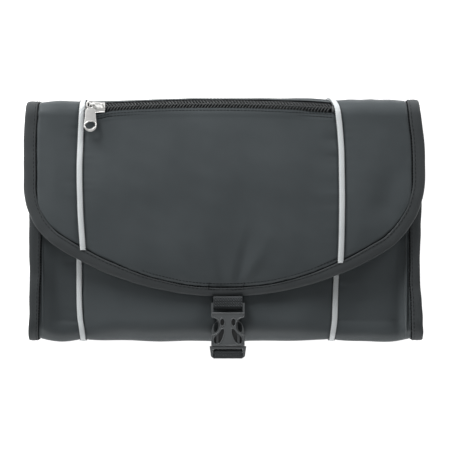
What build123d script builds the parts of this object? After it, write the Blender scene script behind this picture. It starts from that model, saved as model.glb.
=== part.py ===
from build123d import *
import math
import os

# Toiletry bag with a buckled flap, lying on its back. Millimetres.
# X runs across the bag to the right, Y from the buckle towards the top fold, Z out of the front.

# The pouch: a strip of nylon that runs down the front and round the bottom, with a side gusset at each end
bag_height = 169.4
bag_depth = 45.4
corner_radius = 15.0
seam_flange = 8.7
binding_thickness = 2.0
panel_thickness = 1.0
panel_inset = 0.0
gusset_thickness = 1.0
mouth_drop = 14.7
mouth_binding_height = 8.0
back_margin = 2.0

# What backs the shell
padding_thickness = 1.6
lining_thickness = 0.6
mesh_thickness = 0.6
mesh_height = 92.0
elastic_height = 10.0
elastic_thickness = 1.6

# Piping between the centre panel and the two side panels, which isn't evenly placed
piping_width = 3.6
piping_proud = 0.9
pouch_piping_left = -102.2
pouch_piping_right = 78.0
flap_piping_left = -101.2
flap_piping_right = 81.9

# The fold over the top: a flat spine between two folds, then a rounded corner that belongs to the flap
spine_thickness = 1.6
fold_height = 1.4
fold_setback = 1.4
flap_fold_angle = 15.0
flap_corner_radius = 12.0

# The flap, whose curved edge hangs lower than the sides
flap_half_width = 140.7
flap_overhang = 3.5
flap_short = 31.1
flap_thickness = 3.2
flap_gap = 1.4
flap_panel_inset = 0.3
flap_panel_thickness = 0.7
pocket_sheet_inset = 2.2
pocket_sheet_thickness = 0.4
flap_lining_thickness = 0.5
flap_binding = 8.6
flap_low_x = 0.0
flap_bottom_radius = 216.0
flap_left_radius = 50.0
flap_right_radius = 62.0
pocket_depth = 96.0

# The zip across the flap's corner
zip_angle = 61.0
zip_tape_inset = 0.5
zip_tape_thickness = 0.5
zip_tape_half = 5.8
zip_coil_half = 3.0
zip_coil_height = 1.4
zip_coil_gap = 0.8
zip_stop_length = 2.4

# The zip's slider and its pull
slider_rest = -89.1
slider_length = 11.0
slider_half_width = 4.2
slider_nose_length = 3.0
slider_nose_half = 3.4
slider_wall = 0.8
slider_clearance = 0.2
slider_underplate = 0.7
slider_post = 0.4
slider_post_length = 3.0
bridge_radius = 0.65
bridge_front_foot = -4.6
bridge_back_foot = 4.1
bridge_height = 6.4
pull_height = 4.5
pull_thickness = 1.0
pull_length = 22.5
pull_ring_radius = 3.15
pull_ring_hole = 1.95
pull_end_radius = 4.65
pull_tilt = 12.0

# Webbing and the side-release buckle
webbing_width = 20.0
webbing_thickness = 1.1
webbing_clearance = 0.3
buckle_centre = 2.4
buckle_thickness = 7.0
buckle_wall = 1.2
buckle_rail = 1.4
socket_drop = 4.4
socket_bar = 2.6
socket_slot = 4.0
socket_body = 23.5
mouth_length = 7.6
window_length = 12.6
neck_depth = 6.4
window_corners = [(2.9, 12.2), (4.3, 11.7), (6.0, 9.1), (8.6, 6.9), (9.8, 5.6), (9.8, 2.6), (8.9, 1.5), (6.9, 1.6)]
window_corners += [(5.0, 3.1), (3.6, 6.2), (2.7, 9.4)]
buckle_clearance = 0.3
plug_length = 8.2
plug_rail = 1.8
plug_shoulder = 0.65
plug_narrowing = 0.45
plug_ease = 0.1
plug_step = 0.5
plug_bar = 2.4
plug_corner = 2.4
tongue_width = 3.4
tongue_thickness = 2.0
tongue_length = 14.0
prong_arm = 1.8
prong_inset = 4.3
prong_length = 18.6
latch_bite = 0.9
strap_seam = 14.0

# Worked out from the sizes above
top = bag_height / 2
bottom = -top
pouch_half_width = flap_half_width - flap_overhang
mouth = top - mouth_drop
flap_face = bag_depth + flap_gap + flap_thickness
corner_y = top - flap_corner_radius
corner_z = flap_face - flap_corner_radius
gusset_x = pouch_half_width - seam_flange
fold_a = (top - spine_thickness / 2, fold_height)
pivot_radius = flap_corner_radius - spine_thickness / 2
flap_start = flap_fold_angle + math.degrees(fold_setback / pivot_radius)
fold_b = (
    corner_y + pivot_radius * math.cos(math.radians(flap_fold_angle)),
    corner_z + pivot_radius * math.sin(math.radians(flap_fold_angle)),
)
pouch_front_edge = bag_depth - corner_radius
flap_edge = bottom + flap_short
socket_top = flap_edge - socket_drop
socket_shoulder = socket_top - socket_bar - socket_slot
socket_mouth = socket_shoulder - socket_body
socket_bar_y = socket_top - socket_bar / 2
plug_y = socket_mouth - buckle_clearance
plug_end = plug_y - plug_length
plug_bar_y = plug_end + plug_bar / 2 + webbing_clearance * 2
buckle_width = webbing_width + 2 * (buckle_rail + webbing_clearance)
plug_width = webbing_width + 2 * (plug_rail + webbing_clearance + plug_ease)
buckle_z = bag_depth + buckle_clearance
buckle_mid = buckle_z + buckle_thickness / 2
prong_root = buckle_width / 2 - prong_inset
prong_height = buckle_thickness - 2 * (buckle_wall + buckle_clearance)
far = 400.0


def save(shape, name):
    """Writes one named piece."""
    export_step(Compound(children=[s for s in shape.solids()]), f"parts/{name}.step")


def block(x0, x1, y0, y1, z0, z1):
    """A box between two corners."""
    box = Box(x1 - x0, y1 - y0, z1 - z0)
    return Pos((x0 + x1) / 2, (y0 + y1) / 2, (z0 + z1) / 2) * box


def along_x(face, x0, x1):
    """A YZ outline carried from x0 to x1."""
    return Pos(x0, 0, 0) * extrude(Plane.YZ * face, x1 - x0)


def pouch_outline(inset):
    """The pouch's side outline, inset from the outermost layer, open-ended past the mouth."""
    low, high = bottom + inset, far
    floor, roof = inset, bag_depth - inset
    corners = Polyline((low, floor), (high, floor), (high, roof), (low, roof), close=True)
    face = make_face(corners)
    rounded = [v for v in face.vertices() if v.X < 0]
    return fillet(rounded, corner_radius - inset)


def pouch_layer(outer, inner, x0, x1):
    """A layer of the pouch's strip between two insets."""
    return along_x(pouch_outline(outer) - pouch_outline(inner), x0, x1)


def front_and_bottom(layer):
    """Keeps a layer's front and the wrap round the bottom, down to the back seam."""
    mouth_cut = block(-far, far, mouth, 2 * far, -far, far)
    back_cut = block(-far, far, bottom + corner_radius, 2 * far, -far, corner_radius)
    return layer - mouth_cut - back_cut


def back_only(layer, y_top):
    """Keeps a layer's flat back, up to y_top."""
    return layer & block(-far, far, bottom + corner_radius, y_top, -1, corner_radius)


def flap_layer(outer, inner, x0, x1, angle_from=flap_start):
    """A layer of the flap between two depths under its face: flat, then round the top corner."""
    flat = make_face(
        Polyline(
            (-far, flap_face - inner),
            (corner_y, flap_face - inner),
            (corner_y, flap_face - outer),
            (-far, flap_face - outer),
            close=True,
        )
    )
    return along_x(flat, x0, x1) + corner_band(outer, inner, angle_from, 90.0, x0, x1)


def corner_point(radius, angle):
    """A point round the flap's top corner, with 0 degrees straight up the bag and 90 out of the front."""
    a = math.radians(angle)
    return corner_y + radius * math.cos(a), corner_z + radius * math.sin(a)


def corner_band(outer, inner, angle_from, angle_to, x0, x1):
    """Part of a ring round the flap's top corner, between two depths under its face."""
    r_out, r_in = flap_corner_radius - outer, flap_corner_radius - inner
    middle = (angle_from + angle_to) / 2
    ring = make_face(
        [
            ThreePointArc(
                corner_point(r_out, angle_from), corner_point(r_out, middle), corner_point(r_out, angle_to)
            ),
            Line(corner_point(r_out, angle_to), corner_point(r_in, angle_to)),
            ThreePointArc(
                corner_point(r_in, angle_to), corner_point(r_in, middle), corner_point(r_in, angle_from)
            ),
            Line(corner_point(r_in, angle_from), corner_point(r_out, angle_from)),
        ]
    )
    return along_x(ring, x0, x1)


def on_circle(centre, radius, angle):
    """A point on a circle, by its angle in degrees."""
    return (
        centre[0] + radius * math.cos(math.radians(angle)),
        centre[1] + radius * math.sin(math.radians(angle)),
    )


def flap_corner(side, radius, middle):
    """The centre of one lower corner's arc, and the angle at which it meets the bottom curve."""
    x = side * (flap_half_width - radius)
    reach = flap_bottom_radius - radius
    y = middle[1] - math.sqrt(reach**2 - (x - middle[0]) ** 2)
    return (x, y), math.degrees(math.atan2(y - middle[1], x - middle[0]))


def flap_outline(inset=0.0):
    """The flap seen from the front: straight sides, two corner arcs and one long bottom curve."""
    middle = (flap_low_x, flap_edge + flap_bottom_radius)
    side, upper = flap_half_width - inset, top + 20
    left, left_angle = flap_corner(-1, flap_left_radius, middle)
    right, right_angle = flap_corner(1, flap_right_radius, middle)
    r_left, r_right = flap_left_radius - inset, flap_right_radius - inset
    r_low = flap_bottom_radius - inset
    left_end, right_end = on_circle(middle, r_low, left_angle), on_circle(middle, r_low, right_angle)
    edges = [
        Line((-side, upper), (-side, left[1])),
        ThreePointArc((-side, left[1]), on_circle(left, r_left, (left_angle - 180) / 2), left_end),
        ThreePointArc(left_end, on_circle(middle, r_low, (left_angle + right_angle) / 2), right_end),
        ThreePointArc(right_end, on_circle(right, r_right, right_angle / 2), (side, right[1])),
        Line((side, right[1]), (side, upper)),
        Line((side, upper), (-side, upper)),
    ]
    return make_face(edges)


def prism(face):
    """An XY outline carried through the whole depth."""
    return Pos(0, 0, -50) * extrude(face, 200)


def build_pouch_shell():
    """Outer nylon panels with the piping sewn between them."""
    outer, inner = panel_inset, panel_inset + panel_thickness
    half = piping_width / 2
    spans = {
        "pouch_left_panel": (-gusset_x, pouch_piping_left - half),
        "pouch_centre_panel": (pouch_piping_left + half, pouch_piping_right - half),
        "pouch_right_panel": (pouch_piping_right + half, gusset_x),
    }
    for name, (x0, x1) in spans.items():
        save(front_and_bottom(pouch_layer(outer, inner, x0, x1)), name)
    above_floor = block(-far, far, -far, far, 2 * piping_proud, far)
    for name, x in (("pouch_piping_left", pouch_piping_left), ("pouch_piping_right", pouch_piping_right)):
        cord = along_x(pouch_outline(panel_inset - piping_proud) - pouch_outline(inner), x - half, x + half)
        save(front_and_bottom(cord) & above_floor, name)
    save(back_only(pouch_layer(outer, inner, -gusset_x, gusset_x), top - back_margin), "back_panel")


def mouth_slope():
    """Everything past the line from the front's mouth to the top of the back."""
    outline = Polyline(
        (mouth, bag_depth + 1), (top - back_margin, -1), (far, -1), (far, bag_depth + 1), close=True
    )
    return along_x(make_face(outline), -far, far)


def build_gussets():
    """The two ends of the pouch, and the bound seams that stand out beside them."""
    inner = panel_inset + panel_thickness
    slope = mouth_slope()
    for side, name in ((-1, "left"), (1, "right")):
        x0, x1 = sorted((side * gusset_x, side * (gusset_x - gusset_thickness)))
        save(along_x(pouch_outline(inner), x0, x1) - slope, f"gusset_{name}")
        x0, x1 = sorted((side * gusset_x, side * pouch_half_width))
        tape = pouch_layer(0, binding_thickness, x0, x1)
        front = front_and_bottom(tape)
        back = back_only(tape, top - back_margin)
        save(front + back, f"seam_binding_{name}")
    lip = block(-gusset_x, gusset_x, mouth - mouth_binding_height, mouth + 0.8, -far, far)
    inner_face = panel_inset + 2 * panel_thickness
    room = pouch_layer(panel_inset + panel_thickness, inner_face, -gusset_x, gusset_x)
    z0, z1 = bag_depth - inner_face, bag_depth - panel_inset
    edge = block(-gusset_x, gusset_x, mouth, mouth + 0.8, z0, z1)
    inside = gusset_x - gusset_thickness
    reach = block(-inside, inside, -far, far, bag_depth / 2, far)
    save(((room & lip) + edge) & reach, "mouth_binding")


def build_inside():
    """Foam, lining and the mesh pocket on the inside of the back."""
    inside = gusset_x - gusset_thickness
    first = panel_inset + panel_thickness
    second = first + padding_thickness
    third = second + lining_thickness
    fourth = third + mesh_thickness
    y_top = top - back_margin
    save(back_only(pouch_layer(first, second, -inside, inside), y_top), "back_padding")
    save(back_only(pouch_layer(second, third, -inside, inside), y_top), "back_lining")
    front = pouch_layer(first, first + lining_thickness, -inside, inside)
    below_lip = block(-far, far, mouth - mouth_binding_height, 2 * far, -far, far)
    wrap = front_and_bottom(front) - below_lip
    save(wrap - block(-far, far, -far, far, -1, third), "front_lining")
    y_low = bottom + corner_radius
    save(block(-inside, inside, y_low, y_low + mesh_height, third, fourth), "mesh_pocket")
    y_mesh = y_low + mesh_height
    save(
        block(-inside, inside, y_mesh, y_mesh + elastic_height, third, third + elastic_thickness),
        "mesh_pocket_elastic",
    )


def spine_piece(x0, x1):
    """A length of the spine between the two folds, rounded about each fold's axis."""
    (ya, za), (yb, zb) = fold_a, fold_b
    half = spine_thickness / 2
    slab = make_face(
        Polyline((ya - half, za), (ya + half, za), (yb + half, zb), (yb - half, zb), close=True)
    )
    ends = Pos(ya, za) * Circle(half) + Pos(yb, zb) * Circle(half)
    return along_x(slab + ends, x0, x1)


def build_spine():
    """The fold over the top of the bag."""
    half = piping_width / 2
    left, right = flap_piping_left, flap_piping_right
    side = flap_half_width
    spans = {
        "spine_binding_left": (-side, -side + flap_binding),
        "spine_left_panel": (-side + flap_binding, left - half),
        "spine_piping_left": (left - half, left + half),
        "spine_centre_panel": (left + half, right - half),
        "spine_piping_right": (right - half, right + half),
        "spine_right_panel": (right + half, side - flap_binding),
        "spine_binding_right": (side - flap_binding, side),
    }
    for name, (x0, x1) in spans.items():
        save(spine_piece(x0, x1), name)


def build_flap():
    """Flap panels, piping, edge binding, pocket sheet and lining."""
    half = piping_width / 2
    side = flap_half_width
    whole, inside = prism(flap_outline()), prism(flap_outline(flap_binding))
    save((flap_layer(0, flap_thickness, -side, side) & whole) - inside, "flap_binding")
    p0, p1 = flap_panel_inset, flap_panel_inset + flap_panel_thickness
    left, right = flap_piping_left, flap_piping_right
    for name, x0, x1 in (("flap_left_panel", -side, left - half), ("flap_right_panel", right + half, side)):
        save(flap_layer(p0, p1, x0, x1) & inside, name)
    for name, x in (("flap_piping_left", left), ("flap_piping_right", right)):
        save(flap_layer(-piping_proud, p1, x - half, x + half) & inside, name)
    tape_end = zip_angle + math.degrees(zip_tape_half / flap_corner_radius)
    save(flap_layer(p0, p1, left + half, right - half, tape_end) & inside, "flap_centre_panel")
    s0, s1 = pocket_sheet_inset, pocket_sheet_inset + pocket_sheet_thickness
    pocket = flap_layer(s0, s1, left + half, right - half) & inside
    save(pocket & block(-far, far, corner_y - pocket_depth, far, -far, far), "flap_pocket_sheet")
    lining = flap_layer(flap_thickness - flap_lining_thickness, flap_thickness, -side, side)
    save(lining & inside, "flap_lining")


zip_left = flap_piping_left + piping_width / 2
zip_right = flap_piping_right - piping_width / 2
coil_inset = zip_tape_inset - zip_coil_height


def build_zip():
    """Two tapes with a coil on each, and the stops at the ends."""
    span = math.degrees(zip_tape_half / flap_corner_radius)
    coil = math.degrees(zip_coil_half / flap_corner_radius)
    gap = math.degrees(zip_coil_gap / 2 / flap_corner_radius)
    t0, t1 = zip_tape_inset, zip_tape_inset + zip_tape_thickness
    save(corner_band(t0, t1, zip_angle + gap, zip_angle + span, zip_left, zip_right), "zip_tape_lower")
    save(corner_band(t0, t1, flap_start, zip_angle - gap, zip_left, zip_right), "zip_tape_upper")
    x0, x1 = zip_left + zip_stop_length, zip_right - zip_stop_length
    save(corner_band(coil_inset, t0, zip_angle + gap, zip_angle + coil, x0, x1), "zip_coil_lower")
    save(corner_band(coil_inset, t0, zip_angle - coil, zip_angle - gap, x0, x1), "zip_coil_upper")
    for name, a, b in (("zip_stop_left", zip_left, x0), ("zip_stop_right", x1, zip_right)):
        save(corner_band(coil_inset, t0, zip_angle - coil, zip_angle + coil, a, b), name)


tape_radius = flap_corner_radius - zip_tape_inset
pull_x = slider_rest + bridge_front_foot
pull_y, pull_z = corner_point(tape_radius + pull_height, zip_angle)


def build_slider():
    """Two wings joined by a thin post between the coils, with an arched bridge for the pull."""
    half_length, half = slider_length / 2, slider_half_width
    roof = zip_coil_height + slider_clearance
    shoulder = half_length - slider_nose_length
    wing = make_face(
        Polyline(
            (-half_length, -half),
            (-half_length, half),
            (shoulder, half),
            (half_length, slider_nose_half),
            (half_length, -slider_nose_half),
            (shoulder, -half),
            close=True,
        )
    )
    body = Pos(0, 0, roof) * extrude(wing, slider_wall)
    for side in (-1, 1):
        y0, y1 = sorted((side * half, side * (half - slider_wall)))
        body = body + block(-half_length, shoulder, y0, y1, slider_clearance, roof + slider_wall / 2)
    under = zip_tape_thickness + slider_clearance
    post_x, post_half = -half_length + 0.5, slider_post / 2
    post_end = post_x + slider_post_length
    body = body + block(post_x, post_end, -post_half, post_half, -under - slider_underplate / 2, roof + 0.1)
    for x in (bridge_front_foot, bridge_back_foot):
        foot_height = bridge_height - roof
        body = body + Pos(x, 0, roof + foot_height / 2) * Cylinder(bridge_radius, foot_height)
        body = body + Pos(x, 0, bridge_height) * Sphere(bridge_radius)
    bridge_length = bridge_back_foot - bridge_front_foot
    bridge_middle = (bridge_back_foot + bridge_front_foot) / 2
    bridge = Rot(0, 90, 0) * Cylinder(bridge_radius, bridge_length)
    body = body + Pos(bridge_middle, 0, bridge_height) * bridge
    y, z = corner_point(tape_radius, zip_angle)
    body = Pos(slider_rest, y, z) * Rot(zip_angle - 90, 0, 0) * body
    span = math.degrees(half / flap_corner_radius)
    u0 = zip_tape_inset + under
    x0, x1 = slider_rest - half_length, slider_rest + half_length
    plate = corner_band(u0, u0 + slider_underplate, zip_angle - span, zip_angle + span, x0, x1)
    save(body + plate, "zip_slider")


def build_pull():
    """A plate with a ring at its top, threaded on the bridge's front foot, and a wide eye below."""
    reach = pull_length - pull_ring_radius - pull_end_radius
    shank = make_face(
        Polyline((-2.9, -reach + 0.5), (2.9, -reach + 0.5), (2.7, -1.2), (-2.7, -1.2), close=True)
    )
    flare = make_face(
        Polyline((-4.5, -reach), (4.5, -reach), (3.4, -3.4), (-3.4, -3.4), close=True)
    )
    outline = Circle(pull_ring_radius) + shank + flare + Pos(0, -reach) * Circle(pull_end_radius)
    holes = Circle(pull_ring_hole) + Pos(0, -reach) * Rot(0, 0, 12) * Ellipse(3.4, 2.4)
    plate = Pos(0, 0, -pull_thickness / 2) * extrude(outline - holes, pull_thickness)
    save(Pos(pull_x, pull_y, pull_z) * Rot(-pull_tilt, 0, 0) * plate, "zip_pull")


def socket_outline(width):
    """The socket's plate: as wide as the mouth, drawn in beside the side windows."""
    half = width / 2
    neck = half - neck_depth
    y_mouth, y_win, y_top = socket_mouth, socket_mouth + mouth_length, socket_shoulder
    y_end = y_win + window_length
    middle = (y_win + y_end) / 2
    right = [
        Line((half, y_mouth), (half, y_win)),
        ThreePointArc((half, y_win), (neck, middle), (half, y_end)),
        Line((half, y_end), (half, y_top)),
    ]
    left = [
        Line((-half, y_top), (-half, y_end)),
        ThreePointArc((-half, y_end), (-neck, middle), (-half, y_win)),
        Line((-half, y_win), (-half, y_mouth)),
    ]
    top_edge, mouth_edge = Line((half, y_top), (-half, y_top)), Line((-half, y_mouth), (half, y_mouth))
    return make_face(right + [top_edge] + left + [mouth_edge])


def build_socket():
    """The socket half: two plates, side walls at the mouth, and a bar for the webbing."""
    half = buckle_width / 2
    y_win, y_top = socket_mouth + mouth_length, socket_shoulder
    y_end = y_win + window_length
    z0, z1 = buckle_z, buckle_z + buckle_thickness
    plate = socket_outline(buckle_width)
    front = Pos(0, 0, z1 - buckle_wall) * extrude(plate, buckle_wall)
    rear = Pos(0, 0, z0) * extrude(plate, buckle_wall)
    body = front + rear
    for s in (-1, 1):
        x0, x1 = sorted((s * half, s * (half - buckle_rail)))
        body = body + block(x0, x1, socket_mouth, y_win, z0, z1)
        body = body + block(x0, x1, y_top, socket_top, z0 + buckle_rail, z1 - buckle_rail)
    body = body + block(-half, half, y_end, y_top, z0, z1)
    bar = Cylinder(socket_bar / 2, buckle_width)
    body = body + Pos(0, socket_bar_y, buckle_mid) * Rot(0, 90, 0) * bar
    for side in (-1, 1):
        small = Pos(side * 3.9, y_end - 3.6) * Ellipse(1.4, 2.5)
        corners = [(side * x, y) for x, y in window_corners][::-side]
        large = Pos(0, socket_mouth) * fillet(Polygon(*corners, align=None).vertices(), 0.55)
        body = body - Pos(0, 0, z1 - buckle_wall - 0.5) * extrude(small + large, buckle_wall + 2)
    save(Pos(buckle_centre, 0, 0) * body, "buckle_socket")


def webbing_run(points):
    """Webbing seen from the side: flat lengths between points on its middle line, rounded at each."""
    half = webbing_thickness / 2
    run = Sketch()
    for (y0, z0), (y1, z1) in zip(points, points[1:]):
        turn = math.degrees(math.atan2(z1 - z0, y1 - y0))
        length = math.hypot(y1 - y0, z1 - z0)
        flat = Rot(0, 0, turn) * Rectangle(length, webbing_thickness)
        run = run + Pos((y0 + y1) / 2, (z0 + z1) / 2) * flat
    for y, z in points[1:-1]:
        run = run + Pos(y, z) * Circle(half)
    return run


def webbing_turn(y_bar, bar_radius):
    """Half a turn of webbing round the far side of a bar, and the radius of its middle line."""
    middle = bar_radius + 0.1 + webbing_thickness / 2
    half = webbing_thickness / 2
    ring = Pos(y_bar, buckle_mid) * (Circle(middle + half) - Circle(middle - half))
    return ring & (Pos(y_bar - far / 2, buckle_mid) * Rectangle(far, far)), middle


def save_strap(face, name):
    """Carries a strap's side outline across the webbing's width."""
    half = webbing_width / 2
    save(along_x(face, buckle_centre - half, buckle_centre + half), name)


def build_flap_strap():
    """Webbing sewn under the flap's edge and turned round the socket's bar."""
    y_bar, edge = socket_bar_y, flap_edge
    turn, middle = webbing_turn(y_bar, socket_bar / 2)
    sewn = flap_face - flap_thickness - webbing_thickness / 2
    under = webbing_run([(y_bar, buckle_mid - middle), (edge - 0.2, sewn), (edge + strap_seam, sewn)])
    high = buckle_mid + middle
    down = [(edge - 0.9, sewn + webbing_thickness), (edge - 1.4, sewn)]
    over = webbing_run([(y_bar, high), (y_bar + middle, high)] + down)
    save_strap(turn + under + over, "flap_strap")


def build_plug():
    """The plug half: a frame with a bar for the webbing and a guide tongue."""
    half = plug_width / 2
    z0, z1 = buckle_z + plug_step, buckle_z + buckle_thickness - plug_step
    low, high = half - plug_narrowing, half + plug_shoulder
    outline = Polygon((-low, plug_end), (low, plug_end), (high, plug_y), (-high, plug_y), align=None)
    frame = Pos(0, 0, z0) * extrude(outline, z1 - z0)
    edges = [e for e in frame.edges().filter_by(Axis.Z) if e.center().Y < plug_end + 1]
    frame = fillet(edges, plug_corner)
    slot_half = half - plug_rail
    frame = frame - block(-slot_half, slot_half, plug_end - 1, plug_y - plug_rail, -far, far)
    bar = Cylinder(plug_bar / 2, 2 * slot_half + 1)
    bar = Pos(0, plug_bar_y, buckle_mid) * Rot(0, 90, 0) * bar
    tongue = block(
        -tongue_width / 2,
        tongue_width / 2,
        plug_y,
        plug_y + tongue_length,
        buckle_mid - tongue_thickness / 2,
        buckle_mid + tongue_thickness / 2,
    )
    save(Pos(buckle_centre, 0, 0) * (frame + bar + tongue), "buckle_plug")


def prong_outline():
    """The right-hand arm: a root on the plug, a latch shoulder, and a hollow bulge to press."""
    x, half = prong_root, prong_arm / 2
    y_root = plug_y + half + buckle_clearance
    y_shoulder = socket_mouth + mouth_length + buckle_clearance
    x_latch = buckle_width / 2 - buckle_rail + latch_bite
    y_tip = plug_y + prong_length
    arm = Pos(x, (y_root + y_shoulder) / 2) * Rectangle(prong_arm, y_shoulder - y_root)
    root = Pos(x, y_root) * Circle(half)
    head = make_face(
        [
            Line((x - half, y_shoulder), (x_latch, y_shoulder)),
            ThreePointArc((x_latch, y_shoulder), (x_latch - 0.6, y_shoulder + 5.6), (x - 0.4, y_tip)),
            ThreePointArc((x - 0.4, y_tip), (x - half - 0.6, y_tip - 3.6), (x - half, y_shoulder)),
        ]
    )
    hollow = Pos(x + 0.9, y_shoulder + 5.3) * Rot(0, 0, 10) * Ellipse(1.6, 3.7)
    return arm + root + head - hollow


def build_prongs():
    """Two sprung arms, one at each side."""
    right = Pos(0, 0, buckle_mid - prong_height / 2) * extrude(prong_outline(), prong_height)
    save(Pos(buckle_centre, 0, 0) * right, "prong_right")
    save(Pos(buckle_centre, 0, 0) * mirror(right, Plane.YZ), "prong_left")


def build_bottom_strap():
    """Webbing turned round the plug's bar and sewn to the outside of the bag's bottom."""
    y_bar = plug_bar_y
    turn, middle = webbing_turn(y_bar, plug_bar / 2)
    sewn = bottom + panel_inset - webbing_thickness / 2
    low, high = buckle_mid - middle, buckle_mid + middle
    under = webbing_run([(y_bar, low), (sewn, pouch_front_edge), (sewn, corner_radius)])
    over = webbing_run([(y_bar, high), (y_bar + 2.6, high), (y_bar + 2.6, low), (y_bar + 0.6, low - 0.8)])
    save_strap(turn + under + over, "bottom_strap")


os.makedirs("parts", exist_ok=True)
build_pouch_shell()
build_gussets()
build_inside()
build_spine()
build_flap()
build_zip()
build_slider()
build_pull()
build_socket()
build_flap_strap()
build_plug()
build_prongs()
build_bottom_strap()
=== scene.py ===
import math

import bmesh
import bpy
import numpy as np
from mathutils import Matrix, Vector


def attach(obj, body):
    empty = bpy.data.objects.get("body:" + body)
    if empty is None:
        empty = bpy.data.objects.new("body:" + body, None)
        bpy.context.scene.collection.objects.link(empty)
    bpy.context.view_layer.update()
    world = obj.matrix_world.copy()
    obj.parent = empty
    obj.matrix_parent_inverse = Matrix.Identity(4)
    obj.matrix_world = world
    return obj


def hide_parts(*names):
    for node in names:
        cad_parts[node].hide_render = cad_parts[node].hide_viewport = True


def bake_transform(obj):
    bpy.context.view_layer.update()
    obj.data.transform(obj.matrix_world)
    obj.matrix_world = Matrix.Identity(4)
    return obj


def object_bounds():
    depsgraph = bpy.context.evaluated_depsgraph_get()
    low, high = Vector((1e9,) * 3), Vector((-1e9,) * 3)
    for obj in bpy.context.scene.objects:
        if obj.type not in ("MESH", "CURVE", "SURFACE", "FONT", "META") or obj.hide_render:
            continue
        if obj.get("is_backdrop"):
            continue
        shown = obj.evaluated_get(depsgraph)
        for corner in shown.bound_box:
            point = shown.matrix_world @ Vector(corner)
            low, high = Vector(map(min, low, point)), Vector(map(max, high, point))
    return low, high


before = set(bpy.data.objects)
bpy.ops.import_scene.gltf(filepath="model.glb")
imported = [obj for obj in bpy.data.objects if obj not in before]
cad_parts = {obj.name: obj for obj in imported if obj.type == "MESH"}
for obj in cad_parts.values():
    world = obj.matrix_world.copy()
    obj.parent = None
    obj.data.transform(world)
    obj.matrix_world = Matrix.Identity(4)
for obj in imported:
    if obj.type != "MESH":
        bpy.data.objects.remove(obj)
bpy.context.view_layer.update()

# ---------------------------------------------------------------------------------------------
# The back is one flat panel of coated nylon, which the bag lies on. It is cut to the bag's width
# and sewn to the pouch strip along its lower edge. Its edges lift a little where the seams pull.
mm = 0.001


def side_outline(s, y, z, heading, lengths_and_turns, side):
    """Follows a side outline of straight lengths and round bends for a distance s, in millimetres."""
    angle = math.radians(heading)
    turned = np.full_like(s, angle)
    y = y + np.minimum(s, 0) * math.cos(angle)
    z = z + np.minimum(s, 0) * math.sin(angle)
    for length, turn in lengths_and_turns:
        part, bend = np.clip(s, 0, length), math.radians(turn)
        if bend:
            radius = length / bend
            y = y + radius * (np.sin(angle + part / radius) - math.sin(angle))
            z = z - radius * (np.cos(angle + part / radius) - math.cos(angle))
            turned = turned + part / radius
        else:
            y, z = y + part * math.cos(angle), z + part * math.sin(angle)
        s, angle = s - length, angle + bend
    return y, z, -side * np.sin(turned), side * np.cos(turned)


def round_the_pouch(x, u, h):
    """Lays flat cloth down the pouch's front, round its bottom and up its back, h above the surface."""
    mouth_y, front_z = 70.0, 45.4
    lengths_and_turns = [(139.7, 0), (23.56, 90), (15.4, 0), (23.56, 90), (200, 0)]
    y, z, ny, nz = side_outline(mouth_y - u, mouth_y, front_z, 180, lengths_and_turns, -1)
    # The empty front sinks toward its sides and its bottom, but the seams at both sides hold it up.
    outer = ease_in(np.abs(x + 12), 62, 104)
    slack = (0.2 + 2.6 * outer) * ease_in(-u, -58, -20) + (0.6 + 5.2 * outer) * np.clip((-u + 5) / 77, 0, 1)
    beside_seam = ease_in(130.5 + np.minimum(x, 0), 0, 14) * ease_in(130.5 - np.maximum(x, 0), 0, 8)
    h = h - slack * beside_seam * (1 - ease_in(-u, 70, 95))
    return np.stack([x + 0 * y, y + ny * h, z + nz * h], -1) * mm


def laid_out(x0, x1, u0, u1, step, ease=1.0):
    """Flat places between two sides and two ends, step apart. Any of them may curve."""
    def at(edge, where):
        return edge(where) if callable(edge) else edge + 0 * where
    rows = int(abs(at(u1, np.zeros(1))[0] - at(u0, np.zeros(1))[0]) / step) + 2
    across = int(abs(at(x1, np.zeros(1))[0] - at(x0, np.zeros(1))[0]) / step) + 2
    q, p = np.meshgrid(np.linspace(0, 1, rows), np.linspace(0, 1, across) ** ease, indexing="ij")
    x = at(x0, 0 * q) + (at(x1, 0 * q) - at(x0, 0 * q)) * p
    for _ in range(3):
        u = at(u0, x) + (at(u1, x) - at(u0, x)) * q
        x = at(x0, u) + (at(x1, u) - at(x0, u)) * p
    return x, u


def put_in_scene(name, data):
    """Makes an object of a mesh, lamp or lens and puts it into the scene."""
    thing = bpy.data.objects.new(name, data)
    bpy.context.scene.collection.objects.link(thing)
    return thing


def make_piece(name, points, faces, flat, material, sharp=38):
    """Makes one piece from points and faces, with its flat places kept as thread coordinates in metres."""
    mesh = bpy.data.meshes.new(name)
    mesh.from_pydata(points.reshape(-1, 3).tolist(), [], faces)
    loops = np.zeros(len(mesh.loops), np.int32)
    mesh.loops.foreach_get("vertex_index", loops)
    threads = mesh.uv_layers.new(name="threads")
    threads.data.foreach_set("uv", (flat[loops] * mm).astype(np.float32).ravel())
    mesh.shade_smooth()
    mesh.set_sharp_from_angle(angle=math.radians(sharp))
    mesh.materials.append(material)
    return put_in_scene(name, mesh)


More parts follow.
